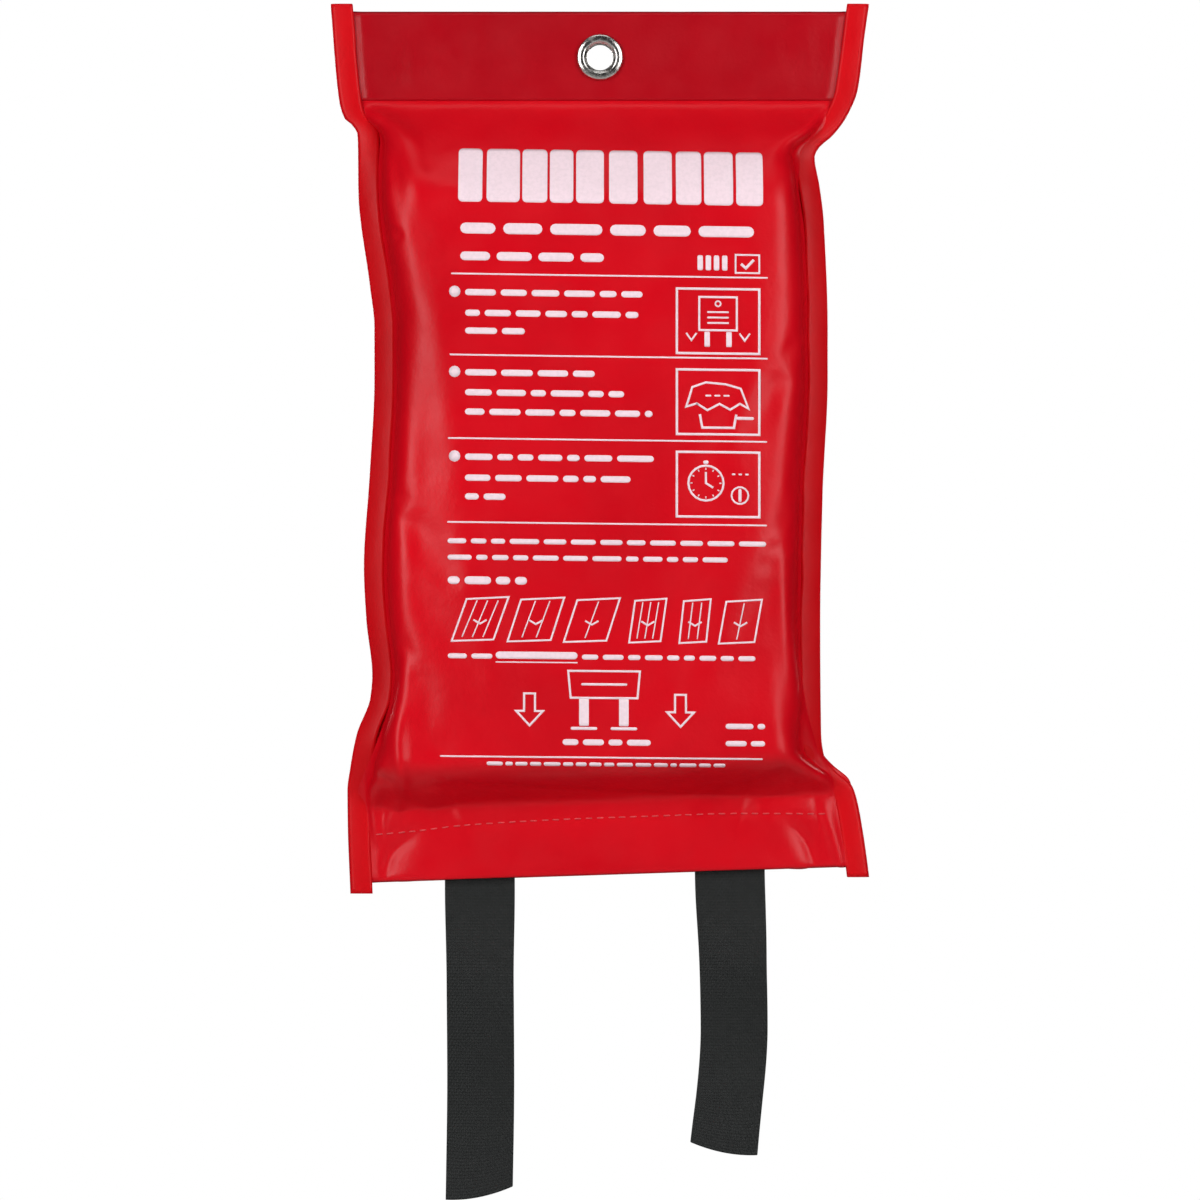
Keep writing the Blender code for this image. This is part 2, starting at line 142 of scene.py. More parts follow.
# The folded blanket, and how its layers are drawn in towards the front and the top
PAD_CENTRE = (PAD_LOW + PAD_HIGH) / 2
PAD_HALF = (PAD_HIGH - PAD_LOW) / 2
PAD_MARGIN = Vector((0.0015, 0.0, 0.0035))
PAD_NARROWING = 0.12
PAD_SLOPE_TOP = 0.17
PAD_SLOPE_FOOT = 0.03
CORE_POWER = 24.0
LAYERS = 8
COURSES = 5
CLOTH = 0.00036
CLOTH_WAVE, CLOTH_SHIFT, LAYER_UNEVEN = 0.00012, 0.0004, 0.0006
COURSE_UNEVEN_FOOT, COURSE_UNEVEN_TOP = 0.0005, 0.0007
LAST_COURSE_SHORT = 0.014

# The hook and loop strips: their thickness and how unevenly their tufts stand
STRIP = 0.00055
TUFT = 0.00013
STRIP_INSET = 0.0002
SELVEDGE_SIDE, SELVEDGE_END = 0.0015, 0.0006

# The bindings
BINDING_WIDTH = 0.0072
BINDING_TAPE = 0.00042
BINDING_HALF_DEPTH = 0.00135
BINDING_ROW_GAP = 0.0016
BINDING_WAVE = 0.12
BINDING_EDGE_WAVE, BINDING_SWELL = 0.0005, 0.00022
BINDING_BOTTOM_Z = {-1: BINDING_LOW[2], 1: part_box("right_edge_binding")[0][2]}

# The eyelet and its washer, as radii and lengths
BORE = 0.00435
RIM = 0.00075
BARREL = 0.00035
WASHER_BORE = 0.0054
EYELET_HOLE = 0.0062

# The pull tapes: their width and thickness, and their middles as (height, x)
WEBBING_WIDTH = 0.0234
WEBBING = 0.0009
WEBBING_ROW_GAP = 0.00055
TAPE_SETTLES = 0.030  # Length below its hinge in which a tape starts to hang freely
TAPE_SWAY, TAPE_CURL, TAPE_TWIST, TAPE_FUZZ = 0.0016, 0.0016, 0.0006, 0.00002
TAPE_CUT_ROUND, TAPE_CUT_SLANT = 0.0012, 0.0022
TAPE_NARROWING = 0.045
TAPE_CENTRES = {
    "left": metres(((-1850, -400), (-2700, -402), (-3000, -401), (-3400, -399), (-3810, -404))),
    "right": metres(((-1850, 436), (-2700, 434), (-3000, 444), (-3250, 449), (-3660, 413))),
}

# The stitching: its route along the hem, and for each seam the pitch, the stitch length,
# the thread's radius, the material and the seed
HEM_ROUTE = metres((
    (-755, -2600), (-620, -2588), (-450, -2568), (-150, -2550),
    (200, -2537), (450, -2529), (765, -2530),
))
FRONT_SEAM = (0.0037, 0.0021, 0.00024, "red_thread", 71)
BACK_SEAM = (0.0037, 0.0021, 0.00022, "red_thread", 72)
BOX_SEAM = (0.0034, 0.0027, 0.0002, "black_thread", 81)
BLANKET_SEAM = (0.0042, 0.0032, 0.00022, "white_thread", 82)
STITCH_JITTER = 0.05  # As a share of the pitch
STITCH_TILT, STITCH_ARCH, STITCH_SINK = 0.6, 1.25, 0.55  # As shares of the thread's radius
THREAD_END = 0.72

# Creases: each a line of (x, z) points, how far it stands out, and its half width,
# all in tenths of a millimetre
FRONT_CREASES = metres((
    # Ridges from the header's corners, with a hollow outside each
    (((-800, -180), (-700, -240), (-620, -330), (-595, -520)), 13, 40),
    (((-760, -240), (-690, -340), (-665, -540)), -10, 32),
    (((790, -185), (720, -265), (640, -420)), 12, 40),
    (((745, -245), (695, -360), (675, -560)), -9, 30),
    # A small kinked dent in the left side, and low ridges down both sides
    (((-710, -578), (-665, -612), (-705, -646)), -6, 14),
    (((-685, -800), (-640, -1300), (-655, -1900)), 4, 35),
    (((640, -700), (620, -1200), (635, -1800)), 3, 45),
    # The thin fold where the slope under the blanket meets the hem
    (((-560, -2425), (-245, -2442), (190, -2464), (440, -2471), (640, -2462)), -4, 12),
    # The ridge down the lower right, and its turn at the hem
    (((598, -1620), (622, -1980), (665, -2190), (720, -2330), (790, -2450)), 15, 28),
    (((700, -2080), (735, -2250), (790, -2380)), -8, 20),
    (((735, -2490), (775, -2600), (825, -2750)), 9, 22),
    # Folds at the lower left
    (((-640, -2000), (-665, -2250), (-660, -2420), (-710, -2590)), 14, 24),
    (((-715, -2120), (-735, -2260), (-720, -2340)), -10, 18),
    (((-765, -2380), (-758, -2500), (-745, -2620)), 9, 16),
    (((-760, -2395), (-690, -2420)), -6, 18),
    (((-690, -2440), (-610, -2485), (-560, -2560)), -4, 26),
    # The hem's corners stand out under the blanket's corners and fall back to the mouth
    (((-720, -2510), (-620, -2515), (-490, -2470)), 22, 95),
    (((480, -2485), (620, -2515), (720, -2500)), 20, 90),
    (((-685, -2760), (-590, -2640), (-460, -2500)), 8, 55),
    (((-718, -2740), (-697, -2665), (-622, -2600)), -9, 19),
    (((700, -2740), (615, -2620), (520, -2500)), 9, 42),
    (((722, -2725), (690, -2625), (640, -2560)), -8, 19),
    (((-345, -2515), (-348, -2590)), -2, 20),
    # The row of stitches draws the hem in
    (((-755, -2600), (-450, -2568), (-150, -2550), (200, -2537), (765, -2530)), -3, 11),
))
BACK_CREASES = metres((
    (((-560, -300), (-480, -520), (-500, -800)), 4, 45),
    (((540, -290), (440, -480), (420, -700)), 4, 45),
    (((-580, -1450), (-300, -1540), (50, -1500)), 3, 50),
    (((600, -1700), (350, -1880), (150, -2150)), 3, 45),
    (((-600, -2400), (-500, -2200), (-460, -1950)), 4, 40),
    (((560, -2380), (500, -2250)), 4, 35),
))
HEADER_CREASES = metres((
    (((-630, 60), (-620, -120)), 3, 30),
    (((-560, 80), (-440, -40)), 2, 24),
    (((-300, 120), (-310, -130)), -2, 40),
    (((260, 130), (280, -130)), -2, 40),
    (((560, 60), (640, -110)), 3, 32),
    (((690, 130), (700, -100)), 3, 26),
))

# The print: places along its lines in tenths of a millimetre, the rest in metres
PRINT_LIFT = 0.00008
PRINT_CELL = 0.0009
INK = 0.00004
PRINT_HEIGHT = 0.23
PRINT_LEAN = (-0.0165, -0.0090)  # How its lines fall to the right, at the top and at the foot
PRINT_LEFT = -503
TITLE_BLOCKS = (
    (-469, -389), (-375, -265), (-257, -174), (-166, -88), (-79, 13),
    (30, 124), (144, 238), (251, 335), (344, 440), (450, 539),
)
RULES = (  # Height, and both ends
    (-737, -492, 554), (-1005, -496, 554), (-1281, -502, 552), (-1558, -504, 551), (-2332, -529, 538),
)
STEPS = (  # Height and end of each of three lines of words, and the picture frame's top
    ((-798, 141), (-866, 127), (-925, -248), -776),
    ((-1063, -17), (-1129, 80), (-1193, 174), -1044),
    ((-1342, 178), (-1411, 101), (-1473, -312), -1317),
)
FOLDING = (  # Both ends of each picture, its number of folds and its lean
    ((-490, -302), 3, 50), ((-306, -118), 2, 45), ((-120, 66), 1, 45),
    ((96, 220), 3, 20), ((262, 366), 2, 15), ((392, 535), 1, 25),
)

# The studio
FLOOR_Z = -0.75
FLOOR_SIZE = 3.4
CARD_GAP = 0.001
CAMERA_DISTANCE = 2.0
CAMERA_Z = -0.1816
VIEW_WIDTH = 0.402
SENSOR_WIDTH = 36.0
LIGHT_TARGET = (0.0, 0.0, -0.15)
LIGHTS = (  # Name, place, width, height, watts
    ("left_box", (-0.95, -1.15, 0.18), 0.60, 1.10, 13.1),
    ("right_box", (0.95, -1.15, 0.20), 0.60, 1.10, 12.5),
    ("front_card", (0.0, -2.35, -0.70), 1.60, 1.00, 0.7),
    ("top_box", (0.0, -0.55, 1.15), 0.90, 0.50, 2.4),
    ("back_left_box", (-0.65, 1.45, 0.20), 0.60, 0.90, 9.0),
    ("back_right_box", (0.65, 1.45, 0.20), 0.60, 0.90, 9.0),
)
WORLD_STRENGTH = 0.02


# Numbers and lines


def clamp(value, low=0.0, high=1.0):
    return min(max(value, low), high)


def smooth(share):
    share = clamp(share)
    return share * share * (3.0 - 2.0 * share)


def mix(first, second, share):
    return first + (second - first) * share


def spread(start, stop, count):
    return [mix(start, stop, step / count) for step in range(count + 1)]


def lengths_along(line):
    """The distance of each point of a line from its start."""
    return np.concatenate([[0.0], np.cumsum(np.linalg.norm(np.diff(line, axis=0), axis=1))])


def even(line, lengths, count):
    """count + 1 points at equal distances along a line."""
    wanted = np.linspace(0.0, lengths[-1], count + 1)
    return np.stack([np.interp(wanted, lengths, column) for column in line.T], axis=1)


def bezier(start, first, second, stop, count):
    points = []
    for step in range(1, count + 1):
        t = step / count
        u = 1 - t
        points.append(tuple(
            a * u ** 3 + 3 * b * u * u * t + 3 * c * u * t * t + d * t ** 3
            for a, b, c, d in zip(start, first, second, stop)
        ))
    return points


def arc(centre, radius, start, stop, count):
    """Points along an arc, angles in degrees from the first axis towards the second."""
    return [
        (centre[0] + radius * math.cos(math.radians(angle)),
         centre[1] + radius * math.sin(math.radians(angle)))
        for angle in spread(start, stop, count)
    ]


def smooth_line(corners, steps=6):
    """Points along a smooth curve through the corners."""
    ends = [corners[0], *corners, corners[-1]]
    line = []
    for k in range(len(corners) - 1):
        before, start, stop, after = (np.array(ends[k + j]) for j in range(4))
        for step in range(steps):
            t = step / steps
            line.append(0.5 * (2 * start + (stop - before) * t
                               + (2 * before - 5 * start + 4 * stop - after) * t ** 2
                               + (3 * start - before - 3 * stop + after) * t ** 3))
    line.append(np.array(corners[-1]))
    return line


def height_curve(points):
    """A smooth curve of a value by height, through (height, value) points from the top down."""
    heights = np.array([point[0] for point in reversed(points)])
    values = np.array([point[1] for point in reversed(points)])
    steps = np.diff(heights)
    rates = np.diff(values) / steps
    slopes = np.concatenate([rates[:1], np.zeros(len(rates) - 1), rates[-1:]])
    for k in range(1, len(rates)):
        if rates[k - 1] * rates[k] > 0:
            slopes[k] = 2 * rates[k - 1] * rates[k] / (rates[k - 1] + rates[k])

    def at(height):
        height = clamp(height, heights[0], heights[-1])
        k = int(clamp(np.searchsorted(heights, height) - 1, 0, len(steps) - 1))
        t = (height - heights[k]) / steps[k]
        start = values[k] * (1 + 2 * t) + slopes[k] * steps[k] * t
        stop = values[k + 1] * (3 - 2 * t) - slopes[k + 1] * steps[k] * (1 - t)
        return float(start * (1 - t) ** 2 + stop * t ** 2)

    return at


# Making objects


def new_object(name, data, material=None):
    if material:
        data.materials.append(material)
        data.shade_smooth()
    made = bpy.data.objects.new(name, data)
    bpy.context.scene.collection.objects.link(made)
    return made


def form_object(name, form, material=None):
    """An object from a bmesh, which is freed."""
    mesh = bpy.data.meshes.new(name)
    form.to_mesh(mesh)
    form.free()
    return new_object(name, mesh, material)


def join_rings(form, first, second):
    """Faces between two closed rings of points."""
    for k in range(len(first)):
        following = (k + 1) % len(first)
        form.faces.new((first[k], first[following], second[following], second[k]))


def thicken(piece, thickness, offset=0.0):
    solid = piece.modifiers.new("Thickness", "SOLIDIFY")
    solid.thickness = thickness
    solid.offset = offset


def apply_modifiers(piece):
    graph = bpy.context.evaluated_depsgraph_get()
    mesh = bpy.data.meshes.new_from_object(piece.evaluated_get(graph))
    piece.modifiers.clear()
    piece.data = mesh
    return piece


def solid_sheet(piece, thickness):
    thicken(piece, thickness)
    return apply_modifiers(piece)


def grid_object(name, rows, material, thickness=None, hole=None):
    """A sheet from rows of points, with its flat size as UVs, and its thickness if one is given."""
    rows = np.array(rows)
    count, columns = rows.shape[:2]
    across = np.cumsum(np.linalg.norm(np.diff(rows, axis=1), axis=2), axis=1)
    u = np.concatenate([np.zeros((count, 1)), across], axis=1)
    u -= u[:, columns // 2:columns // 2 + 1]
    v = lengths_along(rows[:, columns // 2])
    faces = []
    for r in range(count - 1):
        for c in range(columns - 1):
            if hole is None or not hole(rows[r, c]):
                first = r * columns + c
                faces.append((first, first + 1, first + columns + 1, first + columns))
    mesh = bpy.data.meshes.new(name)
    mesh.from_pydata([tuple(point) for point in rows.reshape(-1, 3)], [], faces)
    layer = mesh.uv_layers.new(name="UVMap")
    flat_u = u.reshape(-1)
    for loop in mesh.loops:
        index = loop.vertex_index
        layer.data[loop.index].uv = (flat_u[index], v[index // columns])
    made = new_object(name, mesh, material)
    remove_loose(mesh)
    if thickness:
        thicken(made, thickness)
    return made


def remove_loose(mesh):
    form = bmesh.new()
    form.from_mesh(mesh)
    loose = [vert for vert in form.verts if not vert.link_faces]
    bmesh.ops.delete(form, geom=loose, context="VERTS")
    form.to_mesh(mesh)
    form.free()


# Materials


class Nodes:
    """A material's node tree with short calls to build it."""

    def __init__(self, name, colour, roughness):
        self.material = bpy.data.materials.new(name)
        self.material.use_nodes = True
        self.tree = self.material.node_tree
        self.shader = self.tree.nodes["Principled BSDF"]
        self.set(Base_Color=(*colour, 1.0), Roughness=roughness)
        coordinates = self.tree.nodes.new("ShaderNodeTexCoord")
        self.place = coordinates.outputs["Object"]
        self.flat = coordinates.outputs["UV"]
        self.height = None

    def link(self, source, node, socket):
        """Sets a socket to a value, or links a source to it."""
        if isinstance(source, (int, float, tuple)):
            node.inputs[socket].default_value = source
        else:
            self.tree.links.new(source, node.inputs[socket])

    def set(self, **sources):
        """Sets or links the shader's sockets, with _ for each space in their names."""
        for socket, source in sources.items():
            self.link(source, self.shader, socket.replace("_", " "))

    def node(self, kind, output, **sources):
        """An output of a new node, with its sockets set or linked in the same way."""
        node = self.tree.nodes.new("ShaderNode" + kind)
        for socket, source in sources.items():
            self.link(source, node, socket.replace("_", " "))
        return node.outputs[output]

    def noise(self, size, detail=3.0, flat=False, stretch=None):
        source = self.flat if flat else self.place
        if stretch:
            source = self.node("Mapping", "Vector", Vector=source, Scale=stretch)
        return self.node("TexNoise", "Fac", Vector=source, Scale=1.0 / size, Detail=detail)

    def cells(self, size):
        return self.node("TexVoronoi", "Distance", Vector=self.place, Scale=1.0 / size)

    def part(self, axis):
        return self.node("SeparateXYZ", axis, Vector=self.flat)

    def range(self, source, low, high, start=0.0, stop=1.0):
        return self.node("MapRange", "Result", Value=source,
                         From_Min=start, From_Max=stop, To_Min=low, To_Max=high)

    def math(self, operation, first, second=0.0):
        node = self.tree.nodes.new("ShaderNodeMath")
        node.operation = operation
        self.link(first, node, 0)
        self.link(second, node, 1)
        return node.outputs[0]

    def ramp(self, source, *stops):
        node = self.tree.nodes.new("ShaderNodeValToRGB")
        self.link(source, node, "Fac")
        elements = node.color_ramp.elements
        while len(elements) < len(stops):
            elements.new(0.5)
        for element, (place, colour) in zip(elements, stops):
            element.position = place
            element.color = (*colour, 1.0)
        return node.outputs["Color"]

    def colour(self, source):
        self.set(Base_Color=source)

    def rough(self, source):
        self.set(Roughness=source)

    def bump(self, source, depth):
        """Adds relief of that depth in metres where the source runs from 0 to 1."""
        below = {"Normal": self.height} if self.height else {}
        self.height = self.node("Bump", "Normal", Height=source, Distance=depth, **below)
        self.set(Normal=self.height)

    def weave(self, pitch_u, pitch_v):
        """A plain weave: 0 in the gaps, 1 on top of each thread, laid out on the sheet's flat size."""
        u = self.math("SINE", self.math("MULTIPLY", self.part(0), math.pi / pitch_u))
        v = self.math("SINE", self.math("MULTIPLY", self.part(1), math.pi / pitch_v))
        swap = self.math("MULTIPLY", u, v)
        across = self.math("MULTIPLY", self.math("ABSOLUTE", u), self.math("GREATER_THAN", swap, 0.0))
        along = self.math("MULTIPLY", self.math("ABSOLUTE", v), self.math("LESS_THAN", swap, 0.0))
        return self.math("MAXIMUM", across, along)


def shade(colour, factor):
    return tuple(clamp(channel * factor) for channel in colour)


def pvc(name, colour, roughness, gloss):
    """Soft coated fabric: a fine leathery grain, uneven gloss and faint waves below it."""
    grain = 0.00003
    made = Nodes(name, colour, roughness)
    made.colour(made.ramp(made.noise(0.045, 4.0),
                          (0.30, shade(colour, 0.90)), (0.55, colour), (0.78, shade(colour, 1.06))))
    made.rough(made.range(made.noise(0.012, 4.0), roughness - 0.05, roughness + 0.08, 0.3, 0.7))
    made.bump(made.noise(0.00055, 2.0), grain)
    made.bump(made.cells(0.0013), grain * 0.8)
    made.bump(made.noise(0.0065, 3.0), grain * 5.0)
    made.set(Specular_IOR_Level=gloss, Coat_Weight=0.18 * gloss, Coat_Roughness=0.24)
    return made.material


def ink(name, colour):
    made = Nodes(name, colour, 0.42)
    made.colour(made.ramp(made.noise(0.0012, 4.0), (0.35, shade(colour, 0.94)), (0.60, colour)))
    made.rough(made.range(made.noise(0.003), 0.36, 0.52))
    made.bump(made.noise(0.0006), 0.000012)
    return made.material


def metal(name):
    made = Nodes(name, (0.62, 0.60, 0.57), 0.2)
    made.set(Metallic=1.0)
    made.colour(made.ramp(made.noise(0.003, 5.0),
                          (0.30, (0.50, 0.48, 0.46)), (0.60, (0.66, 0.64, 0.61))))
    made.rough(made.range(made.noise(0.0018, 5.0), 0.14, 0.34, 0.3, 0.7))
    made.bump(made.noise(0.0009, 4.0, stretch=(1.0, 8.0, 1.0)), 0.000015)
    return made.material


def webbing(name):
    """Black polypropylene tape: ribs of thread, lighter along their tops as a painted highlight and
    darker between them as painted shade.
    """
    made = Nodes(name, (0.010, 0.011, 0.011), 0.72)
    weave = made.weave(0.00062, 0.00105)
    fibre = made.noise(0.00016, 2.0, flat=True, stretch=(1.0, 0.25, 1.0))
    # Painted highlight on the threads' tops and painted shade in the gaps, following the weave
    made.colour(made.ramp(made.math("MULTIPLY", weave, made.range(fibre, 0.6, 1.0)),
                          (0.05, (0.004, 0.0045, 0.0045)), (0.75, (0.014, 0.016, 0.0155)),
                          (1.0, (0.021, 0.024, 0.023))))
    made.rough(made.range(made.noise(0.004), 0.52, 0.74))
    made.bump(weave, 0.00010)
    made.bump(fibre, 0.00004)
    made.set(Specular_IOR_Level=0.30, Sheen_Weight=0.12, Sheen_Roughness=0.4)
    return made.material


def pile(name, colour, size, depth):
    """Hook or loop tape: close tufts that catch the light unevenly."""
    made = Nodes(name, colour, 0.75)
    tufts = made.cells(size)
    # Painted highlight on the tufts' tops and painted shade between them, following their relief
    made.colour(made.ramp(tufts, (0.1, shade(colour, 1.5)), (0.8, shade(colour, 0.45))))
    made.bump(made.range(tufts, 1.0, 0.0), depth)
    made.bump(made.noise(size * 0.4, 2.0), depth * 0.5)
    return made.material


def glass_cloth(name):
    """White glass-fibre cloth: a plain weave with a satin gloss on its threads."""
    made = Nodes(name, (0.80, 0.79, 0.75), 0.5)
    weave = made.weave(0.0009, 0.0009)
    # Painted shade in the gaps between the threads and a painted highlight on their tops, following the
    # weave
    made.colour(made.ramp(made.math("MULTIPLY", weave, made.range(made.noise(0.02), 0.85, 1.0)),
                          (0.1, (0.42, 0.41, 0.38)), (0.6, (0.74, 0.73, 0.69)),
                          (1.0, (0.86, 0.85, 0.81))))
    made.rough(made.range(made.noise(0.006), 0.42, 0.62))
    made.bump(weave, 0.00009)
    made.bump(made.noise(0.0003, 2.0, flat=True), 0.00003)
    return made.material


def thread(name, colour):
    """Twisted sewing thread."""
    made = Nodes(name, colour, 0.5)
    made.colour(made.ramp(made.noise(0.0005, 2.0),
                          (0.3, shade(colour, 0.75)), (0.7, shade(colour, 1.15))))
    made.rough(made.range(made.noise(0.0007), 0.4, 0.6))
    made.bump(made.noise(0.0002, 2.0, stretch=(1.0, 1.0, 2.5)), 0.00005)
    return made.material


MATERIALS = {
    "red_pvc": pvc("red_pvc", (0.70, 0.0020, 0.0100), 0.33, gloss=0.18),
    # Painted shade: the header is the front's vinyl, its colour darkened so the flat band looks less lit
    "header_pvc_painted_shade": pvc("header_pvc_painted_shade", (0.46, 0.0020, 0.0090), 0.33, gloss=0.20),
    "red_binding": pvc("red_binding", (0.70, 0.0022, 0.0070), 0.40, gloss=0.13),
    "print_white": ink("print_white", (1.0, 0.79, 0.86)),
    "nickel_plate": metal("nickel_plate"),
    "black_webbing": webbing("black_webbing"),
    "hook_tape": pile("hook_tape", (0.030, 0.030, 0.032), 0.0009, 0.0003),
    "loop_tape": pile("loop_tape", (0.040, 0.040, 0.042), 0.0006, 0.0002),
    "glass_fibre_cloth": glass_cloth("glass_fibre_cloth"),
    "red_thread": thread("red_thread", (0.78, 0.075, 0.085)),
    "white_thread": thread("white_thread", (0.78, 0.77, 0.74)),
    "black_thread": thread("black_thread", (0.012, 0.012, 0.013)),
}


# The pouch's outline


HALF_WIDTH = {-1: height_curve(LEFT_EDGE), 1: height_curve(RIGHT_EDGE)}


def fullness(z):
    """0 at the header and the hem, 1 over the folded blanket."""
    above = clamp((BULGE_START_Z - z) / BULGE_TOP_LENGTH)
    below = clamp((z - BULGE_FOOT_Z) / BULGE_FOOT_LENGTH)
    return min(1 - (1 - above ** 1.25) ** 1.9, 1 - (1 - below ** 1.45) ** 1.7)


def seam_y(z, full_y):
    """Depth of a line of the side seam that stands at full_y beside the blanket."""
    above = smooth((BULGE_START_Z - z) / BULGE_TOP_LENGTH)
    below = smooth((z - BULGE_FOOT_Z) / (1.5 * BULGE_FOOT_LENGTH))
    down = smooth((BULGE_START_Z - z) / (BULGE_START_Z - BULGE_FOOT_Z))
    return mix(mix(SEAM_HEADER_Y, SEAM_HEM_Y, down), full_y, min(above, below))


def mouth_slope(x, z):
    """How far the hem hangs out of level, which fades out above it."""
    return SLOPE_PER_M * x * smooth((SLOPE_START_Z - z) / (SLOPE_START_Z - BULGE_FOOT_Z))


def hem_bow(x, z):
    """How far the front hem stands forward in its middle, where the mouth opens a little."""
    down = clamp((BULGE_FOOT_Z + 0.003 - z) / (BULGE_FOOT_Z - MOUTH_Z))
    across = smooth((mix(*HEM_BOW_REACH, down) + HEM_BOW_FADE / 2 - abs(x)) / HEM_BOW_FADE)
    return HEM_BOW * across * down


def half_section(z, side, middle_y, lip):
    """(x, y) from the middle of a sheet to its edge inside the binding, at one side."""
    edge = HALF_WIDTH[side](z) - EDGE_INSET
    foot = HALF_WIDTH[side](z) - BINDING_WIDTH
    turn = foot - mix(HEM_ROUND, SIDE_ROUND, smooth(fullness(z)))
    low = seam_y(z, FOOT_Y) + lip
    edge_y = seam_y(z, EDGE_Y)
    drop = low - middle_y
    crown = CROWN * fullness(z) if drop > 0 else 0.0
    points = [(turn * share, middle_y + crown * share ** 2) for share in spread(0.0, 1.0, 24)]
    start = points[-1]
    wall = (foot - WALL_INSET, mix(start[1], low, WALL_DROP))
    # One curve from the round down the wall, and one out into the binding
    points += bezier(start, (foot - 0.0022, start[1] + 0.05 * drop),
                     (foot - 0.0013, mix(start[1], low, 0.35)), wall, 14)
    lip_end = (foot + 0.0022, low + (edge_y - seam_y(z, FOOT_Y)) * 0.33)
    points += bezier(wall, (foot - 0.0007, mix(start[1], low, 0.96)), (foot + 0.0004, low), lip_end, 8)
    points.append((edge, edge_y + lip))
    return np.array(points)


def sheet_row(z, middle_y, lip, columns, bow):
    """One row of a sheet, from its left edge to its right edge."""
    halves = [half_section(z, side, middle_y, lip) for side in (-1, 1)]
    left, right = (even(half, lengths_along(half), columns // 2) for half in halves)
    row = [(-x, y) for x, y in left[:0:-1]] + [(x, y) for x, y in right]
    return [(x, y - bow * hem_bow(x, z), z + mouth_slope(x, z)) for x, y in row]


def sheet_rows(path, row_gap, columns, bow=0.0):
    """Rows of a sheet along path, a list of (z, middle y, lip)."""
    line = np.array(path)
    lengths = lengths_along(line[:, :2])
    stations = even(line, lengths, max(round(lengths[-1] / row_gap), 2))
    return np.array([sheet_row(z, y, lip, columns, bow) for z, y, lip in stations])


def fold(z, first, second, direction, steps=8):
    """The half round of a fold at height z between two layers."""
    radius = abs(second[0] - first[0]) / 2
    path = []
    for step in range(1, steps):
        angle = math.pi * step / steps
        share = (1 - math.cos(angle)) / 2
        path.append((z + direction * radius * math.sin(angle),
                     mix(first[0], second[0], share), mix(first[1], second[1], share)))
    return path


# The pouch's sheets


def panel_path(turned_in, hem, top, full_y, share_at, steps):
    """(z, middle y, lip) of a panel, from its turned-in edge, round the mouth, to the header."""
    path = [(z, *turned_in) for z in spread(HEM_TURN_Z, FOLD_Z, 6)]
    path += fold(FOLD_Z, turned_in, hem, -1)
    path += [(z, *hem) for z in spread(FOLD_Z, BULGE_FOOT_Z, 8)]
    for z in spread(BULGE_FOOT_Z, BULGE_START_Z, steps)[1:]:
        up = smooth((z - HEADER_BLEND_Z) / (BULGE_START_Z - HEADER_BLEND_Z))
        flat = mix(hem[0], top[0], up)
        path.append((z, mix(flat, full_y, share_at(z)), mix(hem[1], top[1], up)))
    path += [(z, *top) for z in spread(BULGE_START_Z, PANEL_TOP_Z, 3)[1:]]
    return path


def make_front():
    path = panel_path(FRONT_TURNED_IN, FRONT_HEM, FRONT_TOP, FRONT_Y, fullness, 160)
    rows = sheet_rows(path, PANEL_ROW_GAP, FRONT_COLUMNS, bow=1.0)
    piece = grid_object("front_panel_cloth", rows, MATERIALS["red_pvc"])
    slacken(piece)
    smoother = piece.modifiers.new("Smooth", "SUBSURF")
    smoother.levels = 1
    smoother.render_levels = 1
    return crease_sheet(apply_modifiers(piece), FRONT_CREASES)


def make_back():
    path = panel_path(BACK_TURNED_IN, BACK_HEM, BACK_TURNED_IN, BACK_Y,
                      lambda z: smooth(fullness(z)), 120)
    rows = sheet_rows(path, PANEL_ROW_GAP, BACK_COLUMNS)
    return crease_sheet(grid_object("back_panel_cloth", rows, MATERIALS["red_pvc"]), BACK_CREASES)


def in_eyelet(point):
    return math.hypot(point[0], point[2]) < EYELET_HOLE


def make_header():
    """The header band, folded over the top edge, with the eyelet's hole through it."""
    top = TOP_Z - (BACK_HEM[0] - HEADER_FRONT[0]) / 2
    path = [(z, *HEADER_FRONT) for z in spread(HEADER_END_Z, top, 12)]
    path += fold(top, HEADER_FRONT, BACK_HEM, 1)
    path += [(z, *BACK_HEM) for z in spread(top, HEADER_END_Z, 12)]
    rows = sheet_rows(path, HEADER_ROW_GAP, HEADER_COLUMNS)
    piece = grid_object("header_band_cloth", rows, MATERIALS["header_pvc_painted_shade"], hole=in_eyelet)
    return crease_sheet(piece, HEADER_CREASES)


# Creases


def crease_heights(points, creases):
    """How far each (x, z) point stands out because of the creases."""
    lift = np.zeros(len(points))
    for line, height, width in creases:
        corners = np.array(smooth_line(line))
        nearest = np.full(len(points), 1e9)
        place = np.zeros(len(points))
        segments = len(corners) - 1
        for k in range(segments):
            start, way = corners[k], corners[k + 1] - corners[k]
            share = np.clip(((points - start) @ way) / max(way @ way, 1e-12), 0.0, 1.0)
            gap = np.linalg.norm(points - (start + share[:, None] * way), axis=1)
            closer = gap < nearest
            nearest[closer] = gap[closer]
            place[closer] = (k + share[closer]) / segments
        fade = np.sin(np.pi * np.clip(0.04 + 0.92 * place, 0.0, 1.0)) ** 0.7
        lift += height * fade * np.exp(-(nearest / width) ** 2)
    return lift


